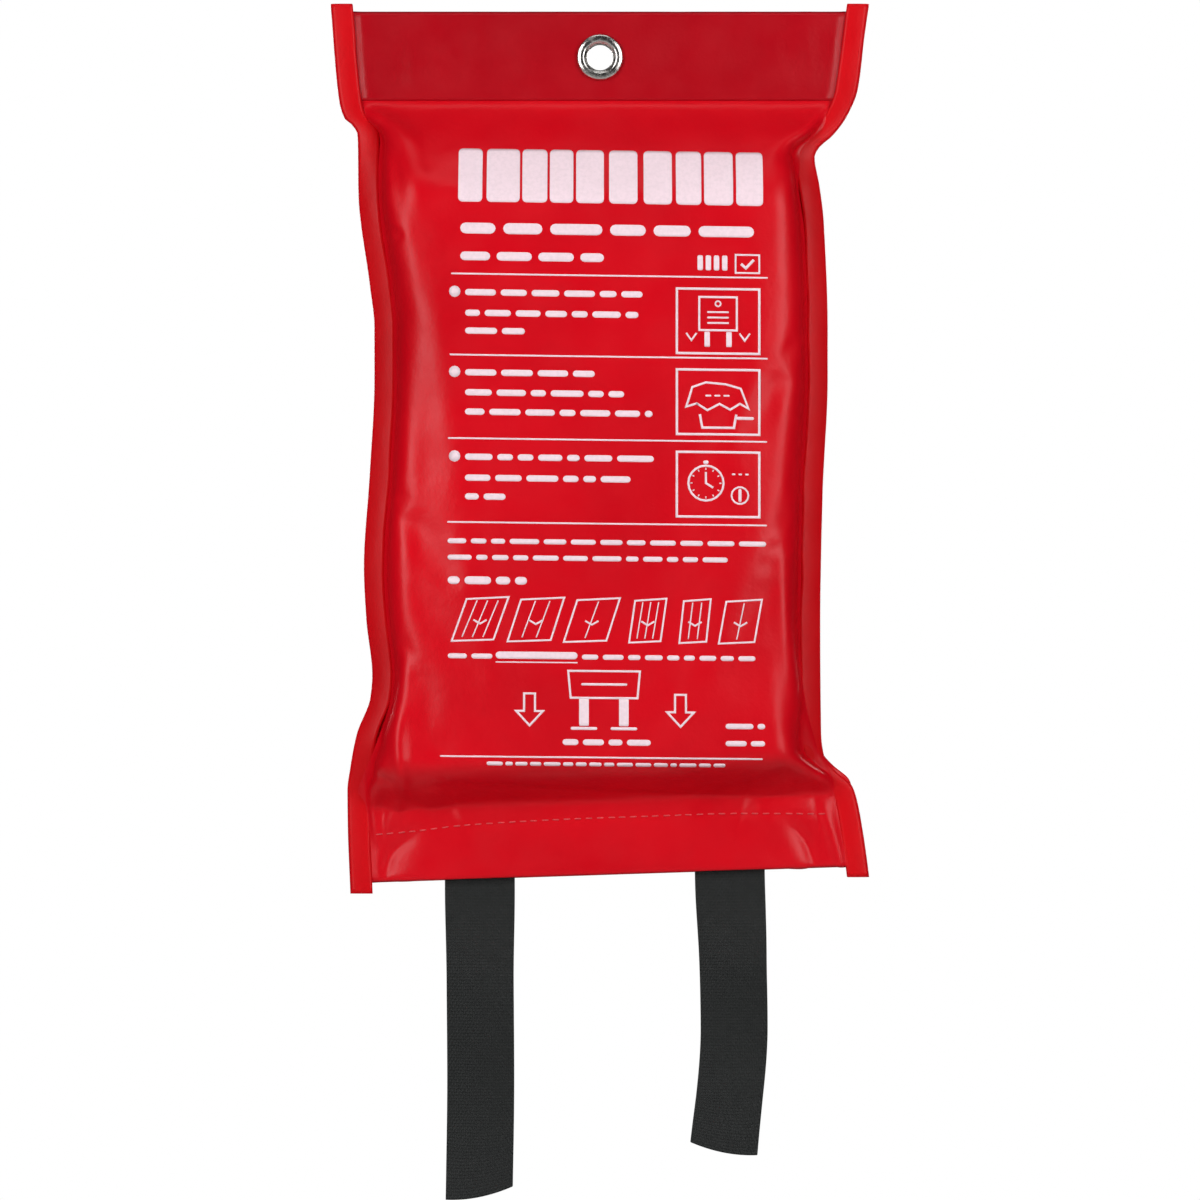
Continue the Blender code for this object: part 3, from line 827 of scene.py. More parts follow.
def crease_sheet(piece, creases):
    """Moves a sheet's points out along its creases, and the layers behind with the front."""
    mesh = piece.data
    places = np.zeros(len(mesh.vertices) * 3)
    normals = np.zeros(len(mesh.vertices) * 3)
    mesh.vertices.foreach_get("co", places)
    mesh.vertices.foreach_get("normal", normals)
    places = places.reshape(-1, 3)
    normals = normals.reshape(-1, 3)
    if normals[places[:, 1].argmin(), 1] > 0:
        normals = -normals
    out = np.where(normals[:, 1:2] > 0.5, -normals, normals)
    places += out * crease_heights(places[:, [0, 2]], creases)[:, None]
    mesh.vertices.foreach_set("co", places.reshape(-1))
    mesh.update()
    return piece


# The front sheet as cloth over the folded blanket


def inside_pad(point, shrink=0.0012):
    """Where a point of the folded cloth lies, once its layers are drawn in to clear the pouch."""
    half = PAD_HALF - PAD_MARGIN - Vector((shrink, shrink, shrink))
    offset = point - PAD_CENTRE
    front = clamp(-offset.y / PAD_HALF.y)
    across = 1 - PAD_NARROWING * front ** 5
    tall = 1 - PAD_SLOPE_TOP * front ** 1.4 if offset.z > 0 else 1 - PAD_SLOPE_FOOT * front ** 4
    shares = Vector((across, 1.0, tall))
    return PAD_CENTRE + Vector(offset[k] * shares[k] * half[k] / PAD_HALF[k] for k in range(3))


def make_core():
    """A block with softened edges in place of the folded blanket, for the front sheet to rest on."""
    form = bmesh.new()
    bmesh.ops.create_cube(form, size=2.0)
    bmesh.ops.subdivide_edges(form, edges=form.edges, cuts=19, use_grid_fill=True)
    for vert in form.verts:
        reach = sum(abs(value) ** CORE_POWER for value in vert.co) ** (1 / CORE_POWER)
        place = PAD_CENTRE + Vector(vert.co[k] / reach * PAD_HALF[k] for k in range(3))
        vert.co = inside_pad(place, 0.0) * SIM_SCALE
    core = form_object("core", form)
    core.modifiers.new("Collision", "COLLISION")
    core.collision.thickness_outer = 0.01
    core.collision.cloth_friction = 20.0
    return core


def pin_share(point):
    """1 where the sheet is held by a seam, the header or the hem, and 0 where it is free."""
    x, _, z = point
    if z > BULGE_START_Z - PIN_MARGIN_TOP or z < BULGE_FOOT_Z + mouth_slope(x, z) + PIN_MARGIN_FOOT:
        return 1.0
    side = -1 if x < 0 else 1
    foot = HALF_WIDTH[side](z) - BINDING_WIDTH
    return smooth((abs(x) - foot + PIN_MARGIN_SIDE) / PIN_MARGIN_SIDE)


def sim_share(point):
    """How much of the cloth's settling is kept: less on the slopes above and below the blanket."""
    above = smooth((SIM_TOP_Z - point[2]) / SIM_TOP_LENGTH)
    below = smooth((point[2] - SIM_FOOT_Z) / SIM_FOOT_LENGTH)
    return SIM_KEPT * min(0.25 + 0.75 * above, 0.35 + 0.65 * below)


def slacken(piece):
    """Lets the front sheet, cut a little larger, settle over the blanket as cloth."""
    mesh = piece.data
    starts = [vert.co.copy() for vert in mesh.vertices]
    group = piece.vertex_groups.new(name="pin")
    for vert in mesh.vertices:
        group.add([vert.index], pin_share(vert.co), "REPLACE")
        vert.co *= SIM_SCALE
    core = make_core()
    cloth = piece.modifiers.new("Cloth", "CLOTH")
    rules = cloth.settings
    rules.quality = 6
    rules.mass = 0.05
    rules.tension_stiffness = 60.0
    rules.compression_stiffness = 30.0
    rules.shear_stiffness = 20.0
    rules.bending_stiffness = 6.0
    rules.air_damping = 3.0
    rules.vertex_group_mass = "pin"
    rules.shrink_min = -SIM_GROWTH
    rules.effector_weights.gravity = 0.3
    cloth.collision_settings.distance_min = 0.004
    cloth.collision_settings.collision_quality = 3
    cloth.point_cache.frame_end = SIM_FRAMES
    scene = bpy.context.scene
    for frame_number in range(1, SIM_FRAMES + 1):
        scene.frame_set(frame_number)
    apply_modifiers(piece)
    scene.frame_set(1)
    for vert, start in zip(piece.data.vertices, starts):
        vert.co = start.lerp(vert.co / SIM_SCALE, sim_share(start))
    piece.vertex_groups.clear()
    bpy.data.objects.remove(core)


# Edge bindings


def binding_section(z, side):
    """(x, y) round a folded tape, from its inner edge in front to its inner edge behind."""
    outer = HALF_WIDTH[side](z)
    start = Vector((outer - BINDING_WIDTH, seam_y(z, FOOT_Y)))
    way = Vector((outer, seam_y(z, EDGE_Y))) - start
    length = way.length
    way.normalize()
    normal = Vector((way.y, -way.x))
    wave = noise.noise(Vector((9.0 * side, 3.0, z * 90.0)))
    depth = BINDING_HALF_DEPTH * (1.0 + BINDING_WAVE * wave)
    inner = BINDING_EDGE_WAVE * noise.noise(Vector((5.0 * side, 8.0, z * 60.0)))
    points = []
    for share in spread(0.0, 1.0, 6):
        swell = BINDING_SWELL * math.sin(math.pi * share)
        points.append(start + way * mix(inner, length - depth, share) + normal * (depth + swell))
    centre = start + way * (length - depth)
    for step in range(1, 10):
        angle = math.pi * step / 10
        points.append(centre + normal * depth * math.cos(angle) + way * depth * math.sin(angle))
    for step in range(7):
        share = 1 - step / 6
        points.append(start + way * mix(0.0, length - depth, share) - normal * depth)
    return [(side * point.x, point.y, z) for point in points]


def make_binding(side, name):
    low = BINDING_BOTTOM_Z[side]
    count = round((BINDING_HIGH[2] - low) / BINDING_ROW_GAP)
    rows = [binding_section(z, side) for z in spread(BINDING_HIGH[2], low, count)]
    if side > 0:
        rows = [row[::-1] for row in rows]
    return apply_modifiers(grid_object(name, rows, MATERIALS["red_binding"], thickness=BINDING_TAPE))


# Eyelet


def lathe(name, profile, material, steps=96):
    """A ring turned about the Y axis from a closed (radius, y) outline."""
    form = bmesh.new()
    rings = []
    for step in range(steps):
        angle = 2 * math.pi * step / steps
        cosine = math.cos(angle)
        sine = math.sin(angle)
        rings.append([form.verts.new((r * cosine, y, r * sine)) for r, y in profile])
    for first, second in zip(rings, rings[1:] + rings[:1]):
        join_rings(form, first, second)
    bmesh.ops.recalc_face_normals(form, faces=form.faces)
    return form_object(name, form, material)


def make_eyelet():
    """The rolled flange in front and the barrel, whose end is spread over the washer behind."""
    low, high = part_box("eyelet_barrel")
    outer = high[0]
    crown_y = low[1]
    seat = HEADER_FRONT[0] - 0.0004
    profile = arc((outer - RIM, seat - RIM * 0.6), RIM, 80, -60, 8)
    profile += [(mix(outer, BORE, 0.35), crown_y + 0.00010), (mix(outer, BORE, 0.55), crown_y)]
    profile += [(mix(outer, BORE, 0.74), crown_y + 0.00022)]
    profile += arc((BORE + 0.0011, crown_y + 0.00145), 0.0011, -110, -180, 6)
    profile += [(BORE, 0.0)]
    profile += arc((BORE + 0.0007, 0.0006), 0.0007, 180, 95, 5)
    profile += [(BORE + 0.0018, high[1] - 0.00015), (BORE + 0.0020, high[1] - 0.0005)]
    profile += [(BORE + 0.0009, 0.00085), (BORE + BARREL, 0.0), (BORE + BARREL, seat + 0.0002)]
    profile += [(mix(outer, BORE, 0.60), seat + 0.00004), (outer - RIM * 1.3, seat + 0.00002)]
    return lathe("eyelet_ring", profile, MATERIALS["nickel_plate"])


def make_washer():
    low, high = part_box("eyelet_washer")
    half = (high[1] - low[1]) / 2
    middle = low[1] + half
    profile = arc((high[0] - half, middle), half, -90, 90, 6)
    profile += [(WASHER_BORE + 0.0002, high[1]), (WASHER_BORE, middle), (WASHER_BORE + 0.0002, low[1])]
    return lathe("eyelet_back_washer", profile, MATERIALS["nickel_plate"])


# Stitching


class Surface:
    """The face of a piece that is met first when casting along Y from from_y."""

    def __init__(self, piece, from_y):
        self.tree = BVHTree.FromObject(piece, bpy.context.evaluated_depsgraph_get())
        self.from_y = from_y
        self.way = Vector((0.0, -1.0 if from_y > 0 else 1.0, 0.0))

    def cast(self, x, z):
        """The place and the normal there, or two times None."""
        return self.tree.ray_cast(Vector((x, self.from_y, z)), self.way)[:2]

    def above(self, x, z, lift):
        """The point at that height above the surface, measured square to it."""
        place, normal = self.cast(x, z)
        return place - normal * lift * math.copysign(1.0, normal.dot(self.way))

    def depth(self, x, z):
        place, _ = self.cast(x, z)
        return place.y if place else 0.0


def tube(form, points, radius, sides=7):
    """A thread along points, thinner at its ends, added to a bmesh."""
    rings = []
    last = len(points) - 1
    for k, point in enumerate(points):
        way = (points[min(k + 1, last)] - points[max(k - 1, 0)]).normalized()
        side = way.cross(Vector((0.0, 1.0, 0.0)))
        if side.length < 0.2:
            side = way.cross(Vector((0.0, 0.0, 1.0)))
        side.normalize()
        up = side.cross(way)
        size = radius * (THREAD_END if k in (0, last) else 1.0)
        ring = []
        for step in range(sides):
            angle = 2 * math.pi * step / sides
            ring.append(form.verts.new(point + size * (side * math.cos(angle) + up * math.sin(angle))))
        rings.append(ring)
    for first, second in zip(rings, rings[1:]):
        join_rings(form, first, second)
    form.faces.new(rings[0])
    form.faces.new(rings[-1][::-1])


def stitch_object(name, line, surface, out, seam):
    """Separate stitches along a line of (x, z); surface gives the depth, out is -1 in front."""
    pitch, length, radius, material, seed = seam
    random.seed(seed)
    form = bmesh.new()
    line = np.array(line)
    lengths = lengths_along(line)
    for k in range(int(lengths[-1] // pitch)):
        jitter = random.uniform(-STITCH_JITTER, STITCH_JITTER)
        start = k * pitch + 0.5 * (pitch - length) + jitter * pitch
        tilt = random.uniform(-1.0, 1.0) * radius * STITCH_TILT
        points = []
        for share in spread(0.0, 1.0, 8):
            place = start + share * length
            x = float(np.interp(place, lengths, line[:, 0]))
            z = float(np.interp(place, lengths, line[:, 1])) + tilt * (share - 0.5)
            arch = math.sin(math.pi * share) ** 0.5
            lift = radius * (STITCH_ARCH * arch - STITCH_SINK)
            points.append(Vector((x, surface(x, z) + out * lift, z)))
        tube(form, points, radius)
    bmesh.ops.recalc_face_normals(form, faces=form.faces)
    return form_object(name, form, MATERIALS[material])


def make_box_stitches(side):
    """The sewn box, and its diagonal, on the back of a tape's upper end."""
    low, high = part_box(side + "_tape_thread")
    radius = BOX_SEAM[2]
    left, right = low[0] + radius, high[0] - radius
    bottom, top = low[2] + radius, high[2] - radius
    route = [(left, top), (right, top), (right, bottom), (left, bottom), (left, top), (right, bottom)]
    back_y = SEWN_BOXES[side][1][1]
    return stitch_object(side + "_box_stitches", route, lambda x, z: back_y, 1, BOX_SEAM)


def make_blanket_stitches():
    """The row that closes the blanket's outer edge."""
    low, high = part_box("blanket_hem_thread")
    middle = (low[2] + high[2]) / 2
    line = [(low[0], middle), (high[0], middle)]

    def outer_layer(x, z):
        return inside_pad(Vector((x, high[1], z))).y - CLOTH / 2

    return stitch_object("blanket_hem_stitches", line, outer_layer, -1, BLANKET_SEAM)


# Tapes, strips and the blanket


def make_tape(side):
    """One webbing tape, from its sewn top on the blanket to its cut end."""
    sewn_low, sewn_high = SEWN_BOXES[side]
    free_low, free_high = TAPE_BOXES[side]
    y = (sewn_low[1] + sewn_high[1]) / 2
    centre = height_curve(TAPE_CENTRES[side])
    sign = -1 if side == "left" else 1
    top_z, end_z = sewn_high[2], free_low[2]
    rows = []
    for z in spread(top_z, end_z, round((top_z - end_z) / WEBBING_ROW_GAP)):
        free = smooth((free_high[2] - z) / TAPE_SETTLES)
        hang = (free_high[2] - z) / (free_high[2] - end_z)
        sway = free * TAPE_SWAY * math.sin(2.2 * math.pi * max(hang, 0.0) + 0.5 * sign)
        row = []
        for c in range(33):
            share = c / 16 - 1
            x = centre(z) + share * WEBBING_WIDTH / 2 * (1 - TAPE_NARROWING * free)
            cut = TAPE_CUT_ROUND * (1 - share ** 2) * hang if hang > 0.8 else 0.0
            slant = -TAPE_CUT_SLANT * sign * share * clamp((hang - 0.80) / 0.20)
            fuzz = TAPE_FUZZ * noise.noise(Vector((x * 700, z * 200, sign)))
            curl = TAPE_CURL * free * (1 - share ** 2)
            curl += TAPE_TWIST * free * share * math.sin(5.0 * hang + sign)
            row.append((x, y - sway - curl + fuzz, z + slant - cut))
        rows.append(row)
    piece = grid_object(side + "_pull_tape", rows, MATERIALS["black_webbing"], thickness=WEBBING)
    bevel = piece.modifiers.new("Selvedge", "BEVEL")
    bevel.width = 0.00022
    bevel.segments = 2
    bevel.limit_method = "ANGLE"
    return apply_modifiers(piece)


def make_strip(name, node, material, seed, bow=0.0):
    """A strip of hook or loop tape with a plain woven selvedge along both long edges."""
    low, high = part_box(node)
    centre = (low + high) / 2
    half_x = (high[0] - low[0]) / 2 - STRIP_INSET
    half_z = (high[2] - low[2]) / 2 - SLOPE_PER_M * half_x - STRIP_INSET
    rows = []
    for z in spread(half_z, -half_z, 42):
        row = []
        for x in spread(-half_x, half_x, 130):
            border = smooth((half_z - abs(z)) / SELVEDGE_SIDE) * smooth((half_x - abs(x)) / SELVEDGE_END)
            tuft = noise.noise(Vector((x * 1500, z * 1500, seed))) * TUFT * border
            row.append((centre.x + x, centre.y + tuft - bow * hem_bow(x, centre.z),
                        centre.z + z + SLOPE_PER_M * x))
        rows.append(row)
    return apply_modifiers(grid_object(name, rows, MATERIALS[material], thickness=STRIP))


def blanket_section(pad_half, layer_gap):
    """(x, depth) across one strip of the cloth, folded into eight layers of slightly uneven reach."""
    points = []
    for layer in range(LAYERS):
        sign = 1 if layer % 2 == 0 else -1
        reach = pad_half - LAYER_UNEVEN * (layer * 37 % 5) / 4
        start = layer * layer_gap
        points += [(sign * x, start) for x in spread(-reach, reach, 16)]
        if layer < LAYERS - 1:
            for angle in (45, 90, 135):
                turn = math.radians(angle)
                points.append((sign * (reach + layer_gap / 2 * math.sin(turn)),
                               start + layer_gap / 2 * (1 - math.cos(turn))))
    return points


def blanket_path(pitch, low, high):
    """(y, z, normal y, normal z) along the middle of the strip, folded up and down from the back."""
    y = PAD_HIGH[1] - pitch / 2 + 0.0001
    stations = []
    for course in range(COURSES):
        up = course % 2 == 0
        flip = -1.0 if up else 1.0
        bottom = low + COURSE_UNEVEN_FOOT * (course * 3 % 4)
        top = high - LAST_COURSE_SHORT
        if course < COURSES - 1:
            top = high - COURSE_UNEVEN_TOP * (course * 5 % 3)
        heights = spread(bottom, top, 22) if up else spread(top, bottom, 22)
        stations += [(y, z, flip, 0.0) for z in heights]
        if course < COURSES - 1:
            for angle in spread(0, 180, 10)[1:-1]:
                turn = math.radians(angle)
                side = (math.cos(turn), -flip * math.sin(turn))
                stations.append((y - pitch / 2 + pitch / 2 * side[0], heights[-1] + pitch / 2 * side[1],
                                 flip * side[0], flip * side[1]))
        y -= pitch
    return stations


def make_blanket():
    """One square metre of glass-fibre cloth, folded to eight layers across and five courses high."""
    pitch = (PAD_HIGH[1] - PAD_LOW[1]) / COURSES
    layer_gap = (pitch - 0.0002) / LAYERS
    half_strip = layer_gap * (LAYERS - 1) / 2
    section = blanket_section((PAD_HIGH[0] - PAD_LOW[0]) / 2 - layer_gap, layer_gap)
    rows = []
    for y, z, ny, nz in blanket_path(pitch, PAD_LOW[2] + pitch / 2, PAD_HIGH[2] - pitch / 2):
        row = []
        for x, place in section:
            off = place - half_strip + CLOTH_WAVE * noise.noise(Vector((x * 45, z * 45, place * 3000)))
            shift = CLOTH_SHIFT * noise.noise(Vector((z * 60, place * 900, 4.0)))
            row.append(inside_pad(Vector((x + shift, y + ny * off, z + nz * off))))
        rows.append(row)
    return apply_modifiers(
        grid_object("folded_fire_cloth", rows, MATERIALS["glass_fibre_cloth"], thickness=CLOTH))


# Print: plain bars and simple pictures stand in for the words and pictures


class Print:
    """Flat shapes drawn in (x, z), in tenths of a millimetre from an origin, then laid on the front."""

    def __init__(self):
        self.form = bmesh.new()
        self.move_to(0, 0)

    def move_to(self, x, z):
        """Moves the origin of what is drawn next."""
        self.origin = metres((x, z))

    def place(self, x, z):
        """A point in metres from the pouch's own origin."""
        return self.origin[0] + metres(x), self.origin[1] + metres(z)

    def quads(self, grid):
        for first, second in zip(grid, grid[1:]):
            for k in range(len(first) - 1):
                self.form.faces.new((first[k], second[k], second[k + 1], first[k + 1]))

    def cut(self, length):
        """How many small cells a length in metres is cut into."""
        return max(1, math.ceil(length / PRINT_CELL))

    def quad(self, a, b, c, d):
        """Corners in order, in metres; the sheet between them is cut into small cells."""
        columns = self.cut(max((b - a).length, (c - d).length))
        rows = self.cut(max((d - a).length, (c - b).length))
        grid = []
        for r in range(rows + 1):
            left = a.lerp(d, r / rows)
            right = b.lerp(c, r / rows)
            places = [left.lerp(right, k / columns) for k in range(columns + 1)]
            grid.append([self.form.verts.new((*place, 0.0)) for place in places])
        self.quads(grid)

    def bar(self, x0, x1, z, height, ends=None):
        """A bar with rounded ends or corners, centred on height z."""
        x0, z = self.place(x0, z)
        x1, _ = self.place(x1, 0)
        height = metres(height)
        radius = min(height / 2 if ends is None else metres(ends), (x1 - x0) / 2, height / 2)
        places = [x0 + radius * (1 - math.cos(math.radians(angle))) for angle in (0, 30, 60)]
        places += spread(x0 + radius, x1 - radius, self.cut(x1 - x0 - 2 * radius))
        places += [x1 - radius * (1 - math.cos(math.radians(angle))) for angle in (60, 30, 0)]
        steps = max(2, self.cut(height))
        grid = []
        for x in places:
            gap = max(radius - (x - x0), radius - (x1 - x), 0.0)
            half = height / 2 - radius + math.sqrt(max(radius ** 2 - gap ** 2, 0.0)) + 1e-6
            heights = spread(z + half, z - half, steps)
            grid.append([self.form.verts.new((x, height, 0.0)) for height in heights])
        self.quads(grid)

    def line(self, points, width, closed=False):
        """A stroke with mitred corners."""
        points = [Vector(self.place(*point)) for point in points]
        last = len(points) - 1
        sides = []
        for k, point in enumerate(points):
            before = points[k - 1] if closed or k > 0 else point
            after = points[0 if k == last else k + 1] if closed or k < last else point
            ways = [way.normalized() for way in (point - before, after - point) if way.length > 1e-9]
            normals = [Vector((-way.y, way.x)) for way in ways]
            middle = sum(normals, Vector((0.0, 0.0))).normalized()
            reach = metres(width) / 2 / max(middle.dot(normals[0]), 0.4)
            sides.append((point + middle * reach, point - middle * reach))
        for (a, d), (b, c) in zip(sides, sides[1:] + sides[:1] if closed else sides[1:]):
            self.quad(a, b, c, d)

    def box(self, x0, x1, z0, z1, width):
        self.line(((x0, z0), (x1, z0), (x1, z1), (x0, z1)), width, closed=True)

    def ring(self, x, z, radius, width, steps=20):
        self.line(arc((x, z), radius, 0, 360, steps)[:-1], width, closed=True)

    def disc(self, x, z, radius, steps=12):
        centre = self.form.verts.new((*self.place(x, z), 0.0))
        rim = [self.form.verts.new((*self.place(*point), 0.0))
               for point in arc((x, z), radius, 0, 360, steps)[:-1]]
        for k in range(steps):
            self.form.faces.new((centre, rim[k], rim[(k + 1) % steps]))

    def words(self, x0, x1, z, height, seed, weight=0.50):
        """A line of plain bars of uneven length, where the real pouch has a line of words."""
        random.seed(seed)
        gap = height * 0.36
        x = x0
        while x < x1 - height * 0.6:
            width = min(random.uniform(0.9, 2.6) * height, x1 - x)
            if x1 - x - width < gap + height * 0.5:
                width = x1 - x
            self.bar(x, x + width, z, height * weight)
            x += width + gap

    def lay(self, name, surface, material):
        """Casts the shapes on to the surface, lifts them a little and gives them a thickness."""
        bmesh.ops.remove_doubles(self.form, verts=self.form.verts, dist=1e-6)
        bmesh.ops.dissolve_degenerate(self.form, edges=self.form.edges, dist=1e-6)
        for vert in self.form.verts:
            x, z = vert.co.x, vert.co.y
            z += mix(*PRINT_LEAN, clamp(-z / PRINT_HEIGHT)) * (x - metres(PRINT_LEFT))
            vert.co = surface.above(x, z, SHEET / 2 + PRINT_LIFT)
        bmesh.ops.recalc_face_normals(self.form, faces=self.form.faces)
        made = form_object(name, self.form, material)
        thicken(made, INK, offset=1.0)
        return apply_modifiers(made)


def print_heading(page):
    for x0, x1 in TITLE_BLOCKS:
        page.bar(x0, x1, -408, 182, ends=14)
    page.words(-462, 509, -586, 70, 11, weight=0.52)
    page.words(-462, 13, -678, 58, 12)
    for k in range(4):
        page.bar(322 + 27 * k, 340 + 27 * k, -690, 50, ends=5)
    page.box(448, 526, -662, -722, 6)
    page.line(((466, -692), (482, -706), (508, -678)), 9)
    for z, x0, x1 in RULES:
        page.bar(x0, x1, z, 5.5)


def print_steps(page):
    """Three blocks of text with a mark in front and a framed picture beside them."""
    for step, (*lines, top) in enumerate(STEPS):
        page.disc(-480, lines[0][0] + 2, 19)
        for k, (z, x1) in enumerate(lines):
            page.words(-446, x1, z, 42, 20 + 3 * step + k)
        page.box(254, 526, top, top - 214, 8)
    for z, draw in ((-883, draw_pull), (-1152, draw_cover), (-1425, draw_wait)):
        page.move_to(390, z)
        draw(page)
    page.move_to(0, 0)


def draw_pull(page):
    """A pouch with its two tapes, and an arrow head beside each."""
    page.box(-62, 62, 80, -30, 7)
    page.ring(0, 58, 9, 5, steps=10)
    for x in (-36, 36):
        page.bar(x - 9, x + 9, -60, 50, ends=3)
    for k in range(3):
        page.bar(-36, 36, 30 - 18 * k, 6)
    for x in (-88, 88):
        page.line(((x - 17, -40), (x, -64), (x + 17, -40)), 6)


def draw_cover(page):
    """A sheet laid over a pan."""
    page.line(((-105, -15), (-85, 50), (-40, 66), (25, 60), (75, 46), (100, -20),
               (72, -4), (40, -24), (5, -5), (-35, -26), (-70, -4)), 7, closed=True)
    page.line(((-60, -40), (-52, -84), (52, -84), (60, -40)), 8)
    page.bar(60, 118, -52, 10)
    for x in (-30, 0, 30):
        page.bar(x - 12, x + 8, 22, 6)


def draw_wait(page):
    """A timer beside a turned-off hob knob."""
    page.ring(-40, 5, 58, 7)
    page.line(((-40, 42), (-40, 5), (-16, -10)), 7)
    for k in range(12):
        turn = math.radians(30 * k)
        tick = [(-40 + reach * math.cos(turn), 5 + reach * math.sin(turn)) for reach in (44, 51)]
        page.line(tick, 4)
    page.bar(-49, -31, 74, 12)
    page.ring(72, -35, 28, 6, steps=14)
    page.bar(67, 77, -35, 44)
    for x in (45, 67, 89):
        page.bar(x, x + 12, 35, 6)


def print_folding(page):
    """Small text and a row of pictures of the cloth being folded."""
    page.words(PRINT_LEFT, 548, -1620, 40, 41, weight=0.42)
    page.words(PRINT_LEFT, 422, -1674, 40, 42, weight=0.42)
    page.words(PRINT_LEFT, -241, -1750, 42, 43, weight=0.62)
    top, bottom = -1812, -1945
    for (x0, x1), folds, lean in FOLDING:
        left = x0 + lean
        right = x1 - lean
        page.line(((left, top), (x1, top + 8), (right, bottom), (x0, bottom - 6)), 6, closed=True)
        for k in range(folds):
            share = (k + 1) / (folds + 1)
            page.line(((mix(left, x1, share), top - 4), (mix(x0, right, share), bottom + 8)), 4)
        middle = (x0 + x1) / 2
        page.line(((middle - 22, -1880), (middle, -1893), (middle + 22, -1880)), 6)
    page.words(PRINT_LEFT, -355, -2000, 40, 44, weight=0.42)
    page.bar(-345, -74, -1996, 24)
    page.bar(-345, -74, -2019, 4)
    page.words(-60, 549, -2000, 40, 45, weight=0.42)


def print_foot(page):
    """A picture of the pouch with its two tapes between arrows, captions and small text."""
    page.line(((-105, -2046), (132, -2046), (124, -2135), (-97, -2135)), 7, closed=True)
    for x in (-53, 79):
        page.bar(x - 16, x + 16, -2182, 92, ends=4)
        page.bar(x - 44, x + 44, -2236, 10)
    page.bar(-62, 90, -2090, 8)
    for x in (-233, 266):
        page.line(((x - 18, -2122), (x + 18, -2122), (x + 18, -2180), (x + 44, -2180), (x, -2228),
                   (x - 44, -2180), (x - 18, -2180)), 7, closed=True)
    page.words(-124, 168, -2282, 40, 51)
    page.words(415, 546, -2225, 36, 52)
    page.words(415, 546, -2282, 36, 53)
    page.words(-375, 415, -2354, 22, 54, weight=0.55)


def make_print(front_face):
    page = Print()
    print_heading(page)
    print_steps(page)
    print_folding(page)
    print_foot(page)
    return page.lay("front_print", front_face, MATERIALS["print_white"])


# The studio


def plain(name, colour, glow):
    material = bpy.data.materials.new(name)
    material.use_nodes = True
    shader = material.node_tree.nodes["Principled BSDF"]
    shader.inputs["Base Color"].default_value = (*colour, 1.0)
    shader.inputs["Roughness"].default_value = 0.7
    shader.inputs["Emission Color"].default_value = (*colour, 1.0)
    shader.inputs["Emission Strength"].default_value = glow
    return material


def stage_plane(name, z, colour, glow):
    bpy.ops.mesh.primitive_plane_add(size=FLOOR_SIZE, location=(0.0, 0.0, z))
    plane = bpy.context.object
    plane.name = name
    plane.data.materials.append(plain(name, colour, glow))
    return plane


def make_floor():
    """A glowing pale floor, and a hidden grey card below it that gives the light it would reflect."""
    floor = stage_plane("floor", FLOOR_Z, (0.86, 0.86, 0.85), glow=0.75)
    floor.visible_diffuse = False
    floor.visible_glossy = False
    floor.visible_shadow = False
    card = stage_plane("bounce_card", FLOOR_Z - CARD_GAP, (0.55, 0.55, 0.54), glow=0.0)
    card.visible_camera = False


def area_light(name, place, width, height, watts):
    light = bpy.data.lights.new(name, "AREA")
    light.shape = "RECTANGLE"
    light.size = width
    light.size_y = height
    light.energy = watts
    made = new_object(name, light)
    made.location = place
    way = Vector(LIGHT_TARGET) - Vector(place)
    made.rotation_euler = way.to_track_quat("-Z", "Y").to_euler()
    made.visible_camera = False


def make_world():
    """White where the camera sees it, and a faint even light elsewhere."""
    world = bpy.data.worlds.new("studio")
    bpy.context.scene.world = world
    world.use_nodes = True
    tree = world.node_tree
    seen = tree.nodes["Background"]
    seen.inputs["Color"].default_value = (1.0, 1.0, 1.0, 1.0)
    seen.inputs["Strength"].default_value = 1.0
    around = tree.nodes.new("ShaderNodeBackground")
    around.inputs["Color"].default_value = (0.97, 0.98, 1.0, 1.0)
    around.inputs["Strength"].default_value = WORLD_STRENGTH
    path = tree.nodes.new("ShaderNodeLightPath")
    blend = tree.nodes.new("ShaderNodeMixShader")
    tree.links.new(path.outputs["Is Camera Ray"], blend.inputs["Fac"])
    tree.links.new(around.outputs["Background"], blend.inputs[1])
    tree.links.new(seen.outputs["Background"], blend.inputs[2])
    tree.links.new(blend.outputs["Shader"], tree.nodes["World Output"].inputs["Surface"])


def make_camera():
    camera = bpy.data.cameras.new("camera")
    camera.sensor_width = SENSOR_WIDTH
    camera.lens = SENSOR_WIDTH * CAMERA_DISTANCE / VIEW_WIDTH
    made = new_object("camera", camera)
    made.location = (0.0, -CAMERA_DISTANCE, CAMERA_Z)
    made.rotation_euler = (math.radians(90.0), 0.0, 0.0)
    bpy.context.scene.camera = made


def make_studio():
    make_floor()
    for light in LIGHTS:
        area_light(*light)
    make_world()
    make_camera()
    bpy.context.scene.view_settings.view_transform = "Standard"


# Building


def settle(piece, body, slot, *nodes):
    """The piece rides on a body and stands for CAD nodes, which are hidden; its slot is not used."""
    if body:
        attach(piece, body)
    if nodes:
        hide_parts(*nodes)


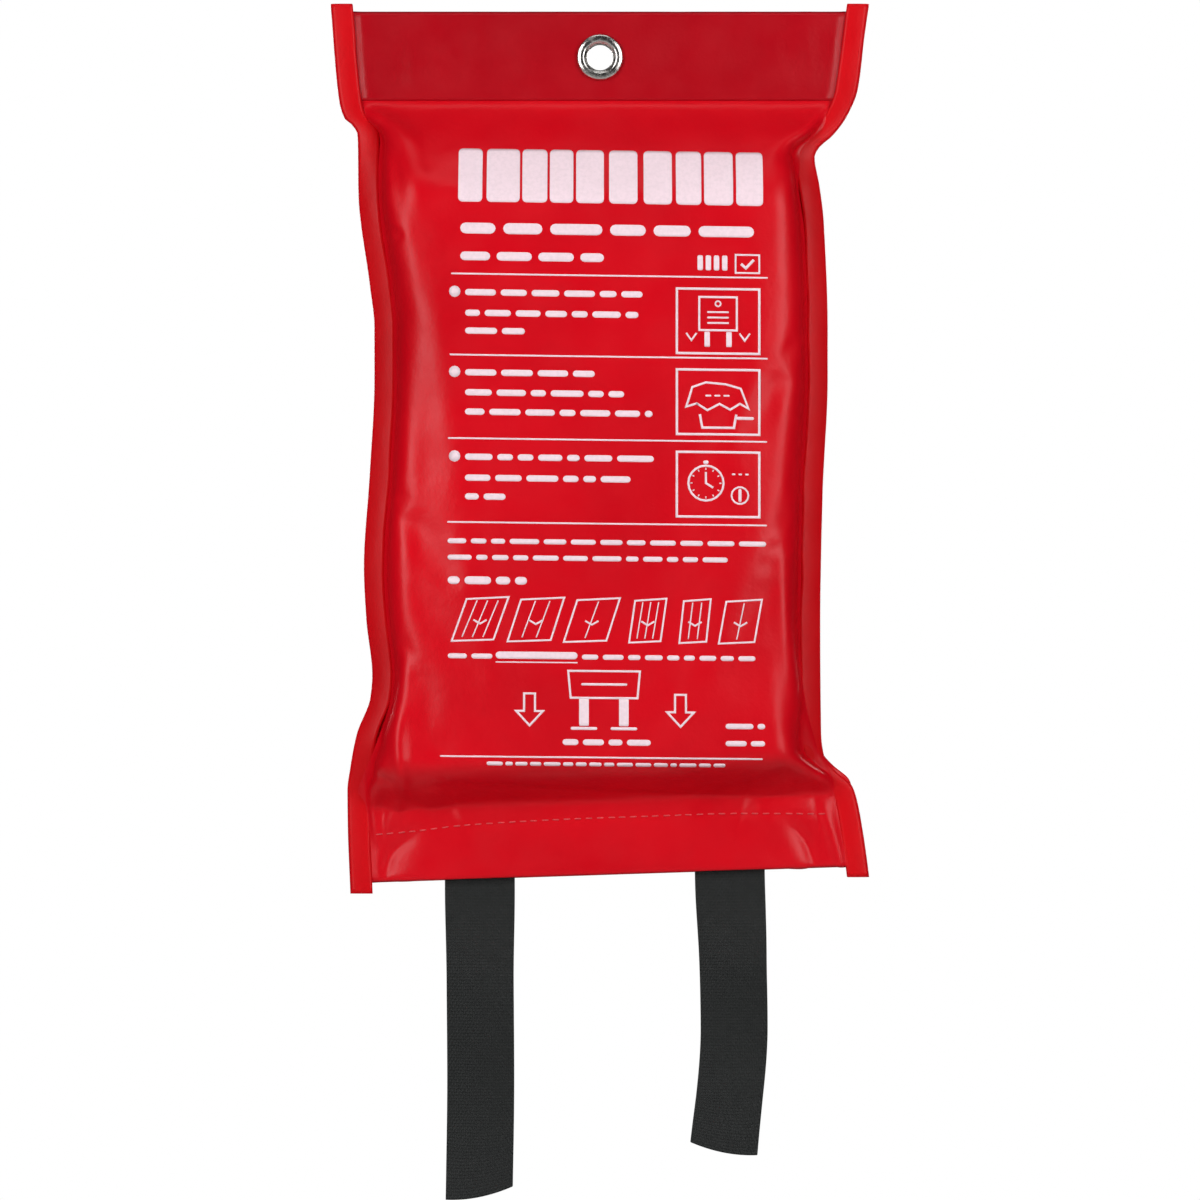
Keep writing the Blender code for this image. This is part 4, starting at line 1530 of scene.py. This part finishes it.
def build_pouch():
    """Makes the pouch's pieces and returns its three sheets and the print."""
    front = make_front()
    back = make_back()
    header = make_header()
    left_binding = make_binding(-1, "left_binding_tape")
    right_binding = make_binding(1, "right_binding_tape")
    front_face = Surface(front, -0.1)
    back_face = Surface(back, 0.1)
    route = smooth_line(HEM_ROUTE, 8)
    front_stitches = stitch_object(
        "front_hem_stitches", route, lambda x, z: front_face.depth(x, z) - SHEET / 2, -1, FRONT_SEAM)
    back_stitches = stitch_object(
        "back_hem_stitches", route, lambda x, z: back_face.depth(x, z) + SHEET / 2, 1, BACK_SEAM)
    label = make_print(front_face)
    for piece, thickness in ((front, SHEET), (back, SHEET), (header, HEADER_SHEET)):
        solid_sheet(piece, thickness)
    settle(make_eyelet(), "pouch", "nickel_plate", "eyelet_barrel")
    settle(make_washer(), "pouch", "nickel_plate", "eyelet_washer")
    hook = make_strip("hook_tape_strip", "hook_strip", "hook_tape", 1.0)
    loop = make_strip("loop_tape_strip", "loop_strip", "loop_tape", 2.0, bow=1.0)
    soft_pieces = (
        (front, "red_pvc", "front_panel", "front_panel_mouth"),
        (back, "red_pvc", "back_panel"),
        (header, "red_pvc", "header_band"),
        (left_binding, "red_binding", "left_edge_binding"),
        (right_binding, "red_binding", "right_edge_binding"),
        (front_stitches, "red_thread", "front_hem_thread"),
        (back_stitches, "red_thread", "back_hem_thread"),
        (label, "print_white"),
        (hook, "hook_tape", "hook_strip"),
        (loop, "loop_tape", "loop_strip"),
    )
    for piece, slot, *nodes in soft_pieces:
        settle(piece, "pouch", slot, *nodes)
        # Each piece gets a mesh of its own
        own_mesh(piece)
    return front, back, header, label


def build_tape(side):
    """One tape in place of the CAD tape and its sewn end, its placing baked into its mesh."""
    piece = make_tape(side)
    settle(piece, None, "black_webbing", side + "_tape", side + "_tape_sewn_end")
    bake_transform(piece)
    return piece


def main():
    front, back, header, label = build_pouch()
    cloth = make_blanket()
    settle(cloth, "blanket", "glass_fibre_cloth", "folded_blanket")
    tapes = [build_tape(side) for side in ("left", "right")]
    for side in ("left", "right"):
        settle(make_box_stitches(side), "blanket", "black_thread", side + "_tape_thread")
    settle(make_blanket_stitches(), "blanket", "white_thread", "blanket_hem_thread")


main()
make_studio()
